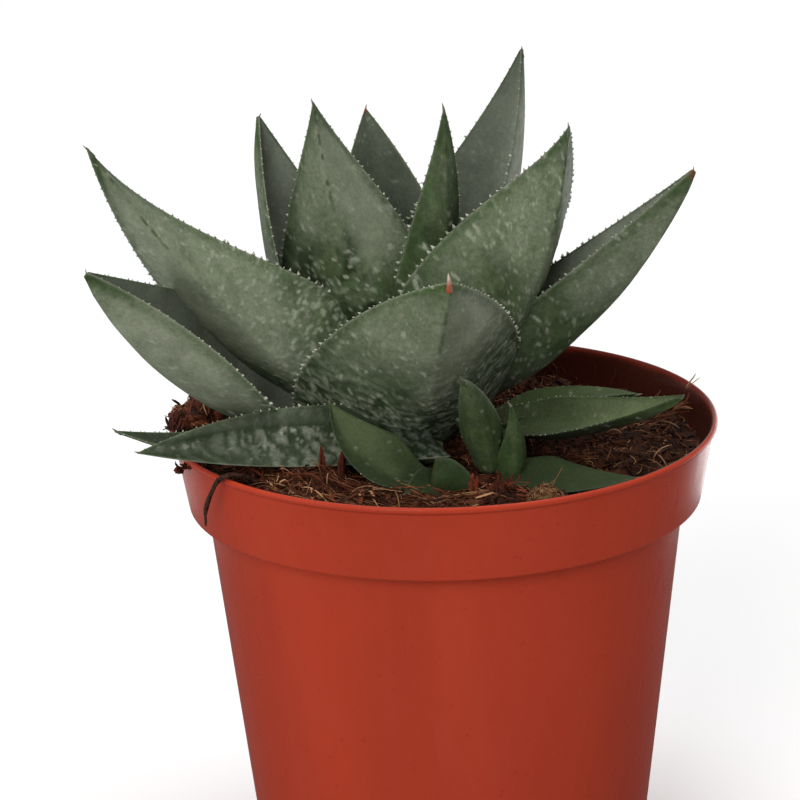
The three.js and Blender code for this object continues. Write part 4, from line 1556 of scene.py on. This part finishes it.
@dataclass
class Pot:
    """A round nursery pot with a deep collar and drain holes in its flat base."""

    # Radius, level and rounding of each corner of the section, from the middle of the base outwards,
    # up the outside, over the rim and down the inside; in millimetres.
    section: tuple = (
        (35.2, 0.0, 0.0), (36.4, 1.2, 0.8), (45.8, 76.5, 0.5), (48.8, 76.5, 0.35), (49.2, 76.9, 0.35),
        (51.7, 90.5, 0.45), (52.5, 90.9, 0.35), (52.5, 91.6, 0.35), (52.1, 92.0, 0.3), (51.8, 92.0, 0.2),
        (51.4, 91.6, 0.25), (50.8, 90.0, 0.8), (48.0, 78.1, 0.9), (44.6, 76.5, 0.9), (35.2, 2.0, 1.2),
    )
    segments: int = 240
    floor: float = 2.0
    hole_radius: float = 3.5
    hole_circle: float = 24.0
    holes: int = 6
    wave: float = 0.1
    finish: PotPlastic = PotPlastic()

    def profile(self) -> Array:
        """Return the section with its corners rounded and its long runs divided."""
        corners = np.array(self.section)
        points = [np.array([corners[0, 0], corners[0, 1]])]
        for before, at, after in zip(corners[:-2], corners[1:-1], corners[2:]):
            back, ahead = before[:2] - at[:2], after[:2] - at[:2]
            near = min(at[2], 0.45 * np.linalg.norm(back), 0.45 * np.linalg.norm(ahead))
            a = at[:2] + back / np.linalg.norm(back) * near
            b = at[:2] + ahead / np.linalg.norm(ahead) * near
            for t in np.linspace(0, 1, 5):
                points.append((1 - t) ** 2 * a + 2 * t * (1 - t) * at[:2] + t * t * b)
        points.append(corners[-1, :2])
        path = [points[0]]
        for a, b in zip(points[:-1], points[1:]):
            count = max(1, int(np.linalg.norm(b - a) / 4))
            path += [a + (b - a) * (i + 1) / count for i in range(count)]
        return np.array(path)

    def mesh(self) -> Mesh:
        """Return the pot's body with its drain holes."""
        path = self.profile()
        turn = full_turn(self.segments)
        noise = Lattice(5)
        level = path[:, 1:] + 0 * turn[None]
        soft = smooth(level, 10, 92)
        around = [1.6 * np.cos(turn)[None] + 9, 1.6 * np.sin(turn)[None] + 9]
        wobble = self.wave * soft * noise.at(*around, level / 60)
        radius = path[:, :1] - self.wave * soft + wobble
        grid = np.stack([radius * np.cos(turn), radius * np.sin(turn), level], -1)
        pot = add_object("pot body", closed_skin("pot body", grid, np.zeros(3), np.array([0, 0, self.floor])))
        drill = add_object("drill", self.drill(turn[::5]))
        cut = pot.modifiers.new("drain holes", "BOOLEAN")
        cut.operation, cut.object, cut.solver = "DIFFERENCE", drill, "EXACT"
        mesh = applied(pot)
        bpy.data.objects.remove(drill)
        return mesh

    def drill(self, turn: Array) -> Mesh:
        """Return the body that cuts the drain holes.

        Args:
            turn: Angles of the sides of each hole.

        Returns:
            One mesh of upright round bars.
        """
        bars = []
        ring = np.stack([np.cos(turn), np.sin(turn)], -1) * self.hole_radius
        low, high = -2.0, 4.0
        for i in range(self.holes):
            angle = 2 * math.pi * (i + 0.5) / self.holes
            centre = np.array([math.cos(angle), math.sin(angle)]) * self.hole_circle
            bar = np.stack([np.column_stack([ring + centre, np.full(len(ring), z)]) for z in (low, high)])
            foot = np.append(centre, low)
            bars.append((bar, foot, foot + [0, 0, high - low], np.zeros((2, 3))))
        return join_skins("drill", bars)

    def build(self) -> None:
        """Make the pot."""
        mesh = self.mesh()
        mesh.shade_smooth()
        place("pot_shell", mesh, self.finish.build(), ("pot",))


@dataclass
class Soil:
    """The coir mix in the pot with its loose surface."""

    radius: float = 49.7
    rings: int = 110
    sides: int = 320
    wall: tuple = ((49.0, 82.0), (47.3, 78.6), (44.1, 76.2), (34.9, 2.6))  # radius and level down the wall
    bottom: float = 2.3
    finish: Earth = Earth("coir mix", tone(0.11, 0.035, 0.016), tone(0.009, 0.003, 0.002), 0.0016, right_shade=0.5)

    def mesh(self) -> Mesh:
        """Return the body of the soil."""
        turn = -full_turn(self.sides)
        radii = self.radius * np.linspace(0.012, 1, self.rings)
        x, y = radii[:, None] * np.cos(turn), radii[:, None] * np.sin(turn)
        top = np.stack([x, y, crumbled(x, y)], -1)
        litter = np.where(radii > self.radius - 1.5, 0.4, 1.0)[:, None] * (1 - bared(x, y))
        rings, shares = [top], [litter]
        for radius, level in self.wall:
            ring = np.stack([radius * np.cos(turn), radius * np.sin(turn), np.full(self.sides, level)], -1)
            rings.append(ring[None])
            shares.append(np.zeros((1, self.sides)))
        start = np.array([0, 0, float(crumbled(np.zeros(1), np.zeros(1))[0])])
        values = {"litter": np.vstack(shares)}
        return closed_skin("soil", np.vstack(rings), start, np.array([0, 0, self.bottom]), values)

    def build(self) -> Object:
        """Make the soil."""
        return place("soil_body", self.mesh(), self.finish.build(), ("soil",))


@dataclass(frozen=True)
class Tuft:
    """A loose bunch of fibres that stand out from one place."""

    at: tuple  # the middle of its foot in millimetres, its level from the rim
    strewn: float  # how far the feet of its fibres lie apart
    heading: float
    rise: float
    spread: float  # how far its fibres part from that way, in degrees
    count: int
    lengths: tuple
    girth: tuple
    tint: tuple
    bend: float = 0.4
    inside: bool = True  # whether it is kept inside the pot

    def grow(self, rng: np.random.Generator, lines: Lines) -> None:
        """Add the tuft's fibres to some lines.

        Args:
            rng: What they are drawn from.
            lines: Where they are added.
        """
        for _ in range(self.count):
            foot = np.array(self.at) + [0, 0, RIM] + rng.normal(0, self.strewn, 3) * [1, 1, 0.4]
            length = rng.uniform(*self.lengths)
            t = np.linspace(0, 1, max(4, int(length / 0.9)))
            a = np.radians(self.heading + rng.normal(0, self.spread)) + self.bend * rng.normal() * t
            r = np.radians(self.rise + rng.normal(0, self.spread * 0.6)) + self.bend * rng.normal() * t
            ahead = pointing(a, r)
            path = foot + np.cumsum(ahead, 0) * length / len(t)
            if self.inside:
                far = np.hypot(path[:, 0], path[:, 1])
                path[:, :2] *= np.minimum(1, INSIDE / far)[:, None]
            girth = rng.uniform(*self.girth) * tapered(t)
            lines.add(path, girth=girth, tint=float(rng.uniform(*self.tint)))


TUFTS = (
    Tuft((38, 11, -5.4), 1.0, 0, 22, 10, 20, (6, 10), (0.4, 0.8), (0.4, 0.9), 0.5),  # at the right wall
    Tuft((44, 10, -2.6), 0.8, 8, 15, 20, 10, (3, 5), (0.4, 0.8), (0.4, 0.9)),
    Tuft((23, 43.5, -7), 2.5, 90, 60, 40, 9, (4, 8), (0.3, 0.5), (0.3, 0.7), 1.2),  # on the back wall
    Tuft((33, 36, -6), 2.5, 40, 60, 40, 6, (3, 7), (0.3, 0.5), (0.3, 0.7), 1.2),
    Tuft((-50, 10, 0.2), 0.1, 172, 55, 4, 1, (2.8, 3.0), (1.3, 1.4), (0.0, 0.02), 0.3, False),  # a twig
    Tuft((-26, -33, -0.8), 3.5, 90, 25, 30, 10, (3, 5), (0.4, 0.6), (0.7, 1.0)),  # on the heap
    Tuft((13, -35, -3.5), 3.5, 20, 5, 35, 12, (3, 6), (0.3, 0.5), (0.6, 1.0)),
    Tuft((38, -20, -4), 4, 60, 8, 30, 14, (4, 8), (0.3, 0.55), (0.5, 1.0), 0.8),
)

# Torn scraps of husk: dark ones over the rim at the left, redder ones on the heap.
SCRAPS = (
    Tuft((-51.0, 9, 0.2), 0.5, -84, 2, 12, 26, (2, 4), (0.35, 0.8), (0.0, 0.3), 0.5, False),
    Tuft((-51.6, 3, 0.1), 0.5, 90, 0, 12, 34, (2, 4.5), (0.35, 0.9), (0.0, 0.3), 0.5, False),
    Tuft((-51.8, -3, 0.0), 0.5, 88, 0, 12, 34, (2, 4.5), (0.35, 0.9), (0.0, 0.3), 0.5, False),
    Tuft((-51.2, -10, -0.3), 0.5, 94, 0, 12, 34, (2, 4.5), (0.35, 0.9), (0.0, 0.35), 0.5, False),
    Tuft((-48.8, -17.9, -2.5), 0.6, 190, 0, 14, 22, (1.0, 2.4), (0.6, 1.2), (0.1, 0.45), 1.2, False),
    Tuft((-22.5, -31.5, -2.0), 0.25, 95, 78, 6, 4, (5.5, 7.5), (0.3, 0.7), (0.15, 0.4), 0.3),
    Tuft((-19.5, -31.5, -2.0), 0.35, 80, 76, 7, 6, (5, 7), (0.35, 0.8), (0.1, 0.4), 0.3),
    Tuft((5.5, -35, -3.2), 0.6, 90, 60, 22, 5, (2.5, 4.2), (0.7, 1.3), (0.3, 0.5), 0.7),
    Tuft((9.5, -35.5, -3.4), 1.8, 60, 15, 60, 20, (1.5, 4), (0.25, 0.9), (0.1, 0.5), 0.9),
    Tuft((10.5, -35, -3.6), 0.6, 80, 65, 18, 6, (2.5, 4.4), (0.3, 0.8), (0.1, 0.45), 0.7),
    Tuft((12.5, -37, -2.9), 0.7, -38, 2, 8, 8, (4, 6), (0.4, 0.8), (0.3, 0.6), 0.2),
    Tuft((5.0, -43.3, -1.5), 0.1, 28, 8, 3, 1, (4.6, 4.8), (0.85, 0.9), (0.98, 1.0), 0.05),
    Tuft((46.2, 12, 0.6), 0.2, 0, 50, 6, 2, (3.5, 5), (0.5, 0.8), (0.95, 1.0), 0.2, False),
)


@dataclass(frozen=True)
class Spinner:
    """Makes lines into fibres of one finish."""

    tree: NodeTree
    finish: Material

    def spin(self, name: str, lines: Lines, slot: Slot, radius: float, flat: float, sides: int) -> None:
        """Put fibres into the scene as a piece.

        Args:
            name: The piece's name.
            lines: Their middle lines, with girths and tints.
            slot: Not used.
            radius: Radius of the thickest in millimetres.
            flat: Thickness against width.
            sides: How many sides a fibre has.
        """
        inputs = {"Radius": radius * MM, "Flat": flat, "Sides": sides, "Finish": self.finish}
        place(name, run_tree(name, lines.mesh(name + " lines"), self.tree, inputs))


@dataclass
class Litter:
    """Loose fibres and crumbs of coir on the soil."""

    fibres: int = 3600
    flakes: int = 420
    radius: float = 0.24  # of the thickest fibre
    flake: float = 0.55  # half the width of the broadest flake
    lengths: tuple = (4.0, 15.0)
    flake_lengths: tuple = (2.5, 8.0)
    curls: tuple = (0.04, 0.05)  # how much fibres and flakes bend from step to step
    flake_flat: float = 0.22  # thickness of a flake against its width
    reach: float = 49.3
    density: float = 212000.0  # crumbs to the square metre
    crumb_radius: float = 0.6
    seed: int = 11
    fibre: Earth = Earth(
        "coir fibre", tone(0.26, 0.078, 0.03), tone(0.026, 0.008, 0.004), 0.0022, 0.75, True,
        dry=tone(0.47, 0.26, 0.125), right_shade=0.3,
    )
    husk: Earth = Earth(
        "coir husk", tone(0.34, 0.07, 0.026), tone(0.03, 0.008, 0.004), 0.0014, 0.8, True,
        dry=tone(0.46, 0.25, 0.12), right_shade=0.3,
    )
    crumb: Earth = Earth(
        "coir crumbs", tone(0.16, 0.052, 0.022), tone(0.012, 0.004, 0.002), 0.0009, 0.92, True, right_shade=0.5
    )

    def strand(
        self, rng: np.random.Generator, lines: Lines, lengths: tuple, curl: float, in_heap: bool
    ) -> None:
        """Lay one fibre on the soil.

        Args:
            rng: What its bends are drawn from.
            lines: Where it is added.
            lengths: The shortest and the longest fibre in millimetres.
            curl: How much it bends from step to step.
            in_heap: Whether it lies in the heap along the rim, mostly along it.
        """
        length = rng.uniform(*lengths) * rng.uniform(0.5, 1)
        count = int(max(4, length / 1.1))
        if in_heap:
            radius, at = rng.uniform(32, self.reach), math.radians(rng.normal(238, 24))
            heading = at + math.pi / 2 + rng.normal(0, 0.6) + rng.integers(2) * math.pi
        else:
            radius, at = self.reach * math.sqrt(rng.uniform(0, 1)), rng.uniform(0, 2 * math.pi)
            heading = rng.uniform(0, 2 * math.pi)
        curl = curl * rng.uniform(0.2, 2.2)
        turns = heading + np.cumsum(rng.normal(0, curl) + rng.normal(0, curl, count))
        step = length / count
        x = radius * math.cos(at) + np.cumsum(np.cos(turns)) * step
        y = radius * math.sin(at) + np.cumsum(np.sin(turns)) * step
        far = np.hypot(x, y)
        pull = np.minimum(1, self.reach / np.maximum(far, 1e-6))
        x, y = x * pull, y * pull
        t = np.linspace(0, 1, count)
        loose = 1 + 1.6 * heaped(x, y)
        arch = (rng.uniform(0, 0.6) * np.sin(np.pi * t) + 1.3 * rng.uniform(-0.6, 1) ** 3 * t) * loose
        ground = np.convolve(np.pad(crumbled(x, y), 2, "edge"), np.ones(5) / 5, "valid")
        z = mix(ground, mix(ground[0], ground[-1], t), 0.65) + arch + rng.uniform(0.0, 0.5)
        tint = float(rng.uniform(0, 1) ** 1.3)
        girth = rng.uniform(0.4, 1) ** 2.2 * tapered(t) * mix(1, 0.65, smooth(tint, 0.6, 0.9))
        if bared(x, y).max() < 0.5:
            lines.add(np.stack([x, y, z], -1), girth=girth, tint=tint)

    def build(self, soil: Object) -> Spinner:
        """Strew the soil.

        Args:
            soil: The soil's piece.

        Returns:
            What makes lines into fibres.
        """
        rng = np.random.default_rng(self.seed)
        spinner, lines = Spinner(strand_tree(), self.fibre.build()), Lines()
        for i in range(self.fibres):
            self.strand(rng, lines, self.lengths, self.curls[0], i % 3 == 0)
        for tuft in TUFTS:
            tuft.grow(rng, lines)
        spinner.spin("coir_fibres", lines, Slot.COIR, self.radius, 1.0, 3)
        flaker, lines = replace(spinner, finish=self.husk.build()), Lines()
        for tuft in SCRAPS:
            tuft.grow(rng, lines)
        for i in range(self.flakes):
            self.strand(rng, lines, self.flake_lengths, self.curls[1], i % 2 == 0)
        flaker.spin("coir_flakes", lines, Slot.COIR, self.flake, self.flake_flat, 6)
        inputs = {"Density": self.density, "Size": self.crumb_radius * MM, "Seed": 3}
        inputs["Finish"] = self.crumb.build()
        place("coir_crumbs", run_tree("coir_crumbs", soil.data.copy(), crumb_tree(), inputs))
        return spinner


CLOD_NOISE = Lattice(23)


@dataclass
class Lump:
    """A clod of peat or coir: a rough ellipsoid, as in the solid of its name."""

    node: str
    slot: Slot
    at: tuple
    radii: tuple
    rough: float
    finish: Earth
    relief: float
    fuzz: int = 300  # loose fibres on it
    fuzz_lengths: tuple = (1.5, 5.0)
    fuzz_tint: tuple = (0.0, 0.9)
    fuzz_radius: float = 0.16
    rows: int = 60
    sides: int = 90
    seed: int = 19

    def surface(self, way: Array) -> Array:
        """Return points of the clod.

        Args:
            way: Their directions from its middle, as unit vectors.

        Returns:
            Points in millimetres, in the shape of the directions.
        """
        waves = ((5, 4, 2), (5, -4, 2), (7, 0, 9))
        swell = 1 + self.rough * sum(np.sin(way @ np.array(w)) for w in waves)
        at = way * np.array(self.radii)
        crust = CLOD_NOISE.rough(at[..., 0] / 1.6, at[..., 1] / 1.6, at[..., 2] / 1.6, 3) * self.relief
        return at * swell[..., None] + way * crust[..., None] + np.array(self.at)

    def fuzz_lines(self) -> Lines:
        """Return the middle lines of the loose fibres on the clod."""
        rng, lines = np.random.default_rng(self.seed), Lines()
        for _ in range(self.fuzz):
            way = rng.normal(0, 1, 3)
            way[2] = abs(way[2])
            way /= np.linalg.norm(way)
            length = rng.uniform(*self.fuzz_lengths)
            t = np.linspace(0, 1, max(4, int(length / 0.7)))
            along = np.cross(way, rng.normal(0, 1, 3))
            along /= np.linalg.norm(along)
            lift = rng.uniform(-0.1, 0.5) * t + 0.35 * np.sin(np.pi * t)
            around = way + along * (t[:, None] * length / max(self.radii))
            around /= np.linalg.norm(around, axis=1)[:, None]
            path = self.surface(around) + around * (lift * length * 0.3)[:, None]
            girth = rng.uniform(0.4, 1) ** 1.5 * tapered(t)
            lines.add(path, girth=girth, tint=float(rng.uniform(*self.fuzz_tint)))
        return lines

    def build(self, spinner: Spinner) -> None:
        """Make the clod.

        Args:
            spinner: What makes lines into fibres.
        """
        polar = (np.pi * (np.arange(self.rows) + 0.5) / self.rows)[:, None]
        turn = full_turn(self.sides)
        ways = [np.sin(polar) * np.cos(turn), np.sin(polar) * np.sin(turn), -np.cos(polar) + 0 * turn]
        grid = self.surface(np.stack(ways, -1))
        start, end = self.surface(np.array([0, 0, -1.0])), self.surface(np.array([0, 0, 1.0]))
        mesh = closed_skin(self.node, grid, start, end)
        place(self.node + "_clod", mesh, self.finish.build(), (self.node,))
        spinner.spin(self.node + "_fibres", self.fuzz_lines(), self.slot, self.fuzz_radius, 1.0, 3)


@dataclass
class Twig:
    """A thin dark twig that hangs over the rim."""

    # Angle, distance outside the rim's radius and level over the rim of points along it.
    route: tuple = (
        (222, -7, -2), (221, -3.5, 0.2), (220, -0.5, 0.95), (218.5, 1.1, 0.0), (216, 1.3, -3.2),
        (213.5, 1.1, -7), (212.5, 0.7, -10.5),
    )
    rim: float = 52.5
    radius: float = 0.45
    finish: Earth = Earth("dark bark", tone(0.075, 0.035, 0.022), tone(0.012, 0.006, 0.004), 0.0007, 0.8)

    def build(self) -> None:
        """Make the twig."""
        knots = []
        for angle, out, level in self.route:
            far, a = self.rim + out, math.radians(angle)
            knots.append((far * math.cos(a), far * math.sin(a), RIM + level))
        path = catmull(np.array(knots), 12)
        t = np.linspace(0, 1, len(path))
        noise = Lattice(31)
        radii = self.radius * (0.95 + 0.22 * noise.at(t * 22, 0 * t)) * (1 - 0.45 * smooth(t, 0.75, 1))
        mesh = tube("rim_twig", path, radii, 12)
        place("rim_twig_bark", mesh, self.finish.build(), ("rim_twig",))


def catmull(knots: Array, steps: int) -> Array:
    """Return a smooth line through points.

    Args:
        knots: The points, one row each.
        steps: How many points stand for each span.

    Returns:
        The line's points.
    """
    padded = np.vstack([2 * knots[0] - knots[1], knots, 2 * knots[-1] - knots[-2]])
    spans = []
    for i in range(len(knots) - 1):
        a, b, c, d = padded[i : i + 4]
        t = np.linspace(0, 1, steps, endpoint=False)[:, None]
        bend = (2 * a - 5 * b + 4 * c - d) * t**2 + (3 * b - a - 3 * c + d) * t**3
        spans.append(0.5 * (2 * b + (c - a) * t + bend))
    return np.vstack(spans + [knots[-1:]])


# ---------------------------------------------------------------- studio


@dataclass
class Studio:
    """Pale floor, soft lights and the camera."""

    distance: float = 1.05  # from the middle of the rim
    elevation: float = 18.069
    roll: float = 1.367
    yaw: float = 0.4533
    pitch: float = 0.1999
    lens: float = 247.24
    sensor: float = 36.0
    reach: float = 6.0  # half the floor's side in metres
    target: float = 0.1  # level the lights look at in metres
    ambience: float = 0.22  # strength of the world's light

    def camera(self) -> None:
        """Set the camera up where the photograph was taken from."""
        e = math.radians(self.elevation)
        eye = Vector((0, -math.cos(e), math.sin(e))) * self.distance
        ahead = -eye.normalized()
        right = Vector((1, 0, 0))
        up = right.cross(ahead)
        plain = Matrix((right, up, ahead))
        turned = (
            Matrix.Rotation(math.radians(self.pitch), 3, "X")
            @ Matrix.Rotation(math.radians(self.yaw), 3, "Y")
            @ Matrix.Rotation(math.radians(self.roll), 3, "Z")
            @ plain
        )
        data = bpy.data.cameras.new("camera")
        data.lens, data.sensor_width, data.clip_end = self.lens, self.sensor, 20.0
        pose = Matrix((turned[0], turned[1], -turned[2])).transposed().to_4x4()
        pose.translation = eye + Vector((0, 0, RIM * MM))
        camera = add_object("camera", data)
        camera.matrix_world = pose
        bpy.context.scene.camera = camera

    def floor(self) -> None:
        """Lay the floor."""
        mesh = bpy.data.meshes.new("floor")
        corners = [(x * self.reach, y * self.reach, 0) for x, y in ((-1, -1), (1, -1), (1, 1), (-1, 1))]
        mesh.from_pydata(corners, [], [(0, 1, 2, 3)])
        skin = Skin("pale floor")
        # It throws little light back, and the sides of the pot mirror little of it.
        ray = skin.add("ShaderNodeLightPath").outputs
        colour = skin.blend(ray["Is Glossy Ray"], tone(0.44, 0.44, 0.44), tone(0.15, 0.15, 0.15))
        colour = skin.blend(ray["Is Camera Ray"], colour, tone(0.97, 0.97, 0.97))
        mesh.materials.append(skin.finish(Base_Color=colour, Roughness=0.9, Specular_IOR_Level=0.0))
        add_object("floor", mesh)

    def light(
        self, name: str, at: tuple, size: float, power: float, mirrored: bool = True, lit: bool = True
    ) -> None:
        """Hang a soft light that looks at the plant.

        Args:
            name: Its name.
            at: Where it hangs, in metres.
            size: Side of its square face in metres.
            power: Its power in watts.
            mirrored: Whether glossy faces mirror it.
            lit: Whether it lights anything but by its mirror image.
        """
        data = bpy.data.lights.new(name, "AREA")
        data.energy, data.size = power, size
        lamp = add_object(name, data)
        lamp.visible_glossy, lamp.visible_diffuse, lamp.visible_camera = mirrored, lit, False
        lamp.location = at
        way = Vector((0, 0, self.target)) - Vector(at)
        lamp.rotation_euler = way.to_track_quat("-Z", "Y").to_euler()

    def build(self) -> None:
        """Set the studio up."""
        self.camera()
        self.floor()
        world = bpy.data.worlds.new("studio")
        world.use_nodes = True
        sky = world.node_tree.nodes["Background"].inputs
        sky["Color"].default_value, sky["Strength"].default_value = tone(1, 1, 1), self.ambience
        bpy.context.scene.world = world
        bpy.context.scene.view_settings.view_transform = "Standard"
        self.light("overhead", (0.0, 0.5, 2.4), 2.4, 52)
        self.light("key", (-0.7, -1.9, 1.1), 1.1, 22.5)
        self.light("fill", (1.5, -1.0, 0.9), 1.0, 5, mirrored=False)
        self.light("low left", (-1.4, -0.8, 0.18), 0.9, 7)
        self.light("backdrop", (0.0, 1.6, 0.65), 1.2, 3.6, lit=False)
        self.light("left edge", (-0.16, 0.13, 0.03), 0.2, 0.07, lit=False)
        self.light("right edge", (0.15, 0.15, 0.03), 0.18, 0.22, lit=False)


# ---------------------------------------------------------------- the whole


STEMS = ("stem_main", "stem_offset_left", "stem_offset_middle", "stem_offset_low", "stem_offset_right")


def dress_stems() -> None:
    """Give the carried-over stems their finish."""
    material = StemSkin().build()
    for name in STEMS:
        stem = bpy.data.objects[name]
        stem.data.materials.clear()
        stem.data.materials.append(material)
        LOG.info("%s: dressed", name)


def main() -> None:
    """Build the plant, its pot and the studio."""
    logging.basicConfig(level=logging.INFO, format="%(message)s")
    Studio().build()
    Pot().build()
    soil = Soil().build()
    spinner = Litter().build(soil)
    coir = Earth("coir clod", tone(0.13, 0.034, 0.014), tone(0.007, 0.0025, 0.0015), 0.0022)
    peat = Earth("peat clod", tone(0.19, 0.11, 0.045), tone(0.03, 0.017, 0.008), 0.0009)
    Lump("coir_lump", Slot.COIR, (-44.5, 7, RIM - 1.5), (6.5, 9.5, 5.5), 0.08, coir, 0.9).build(spinner)
    at, radii = (18.5, -38.5, RIM - 3.4), (3.4, 3, 2.4)
    Lump("peat_ball", Slot.PEAT, at, radii, 0.05, peat, 0.35, 260, (1, 2.5), (0.5, 1), 0.1).build(spinner)
    Twig().build()
    dress_stems()
    Foliage().build()


if __name__ == "__main__":
    main()
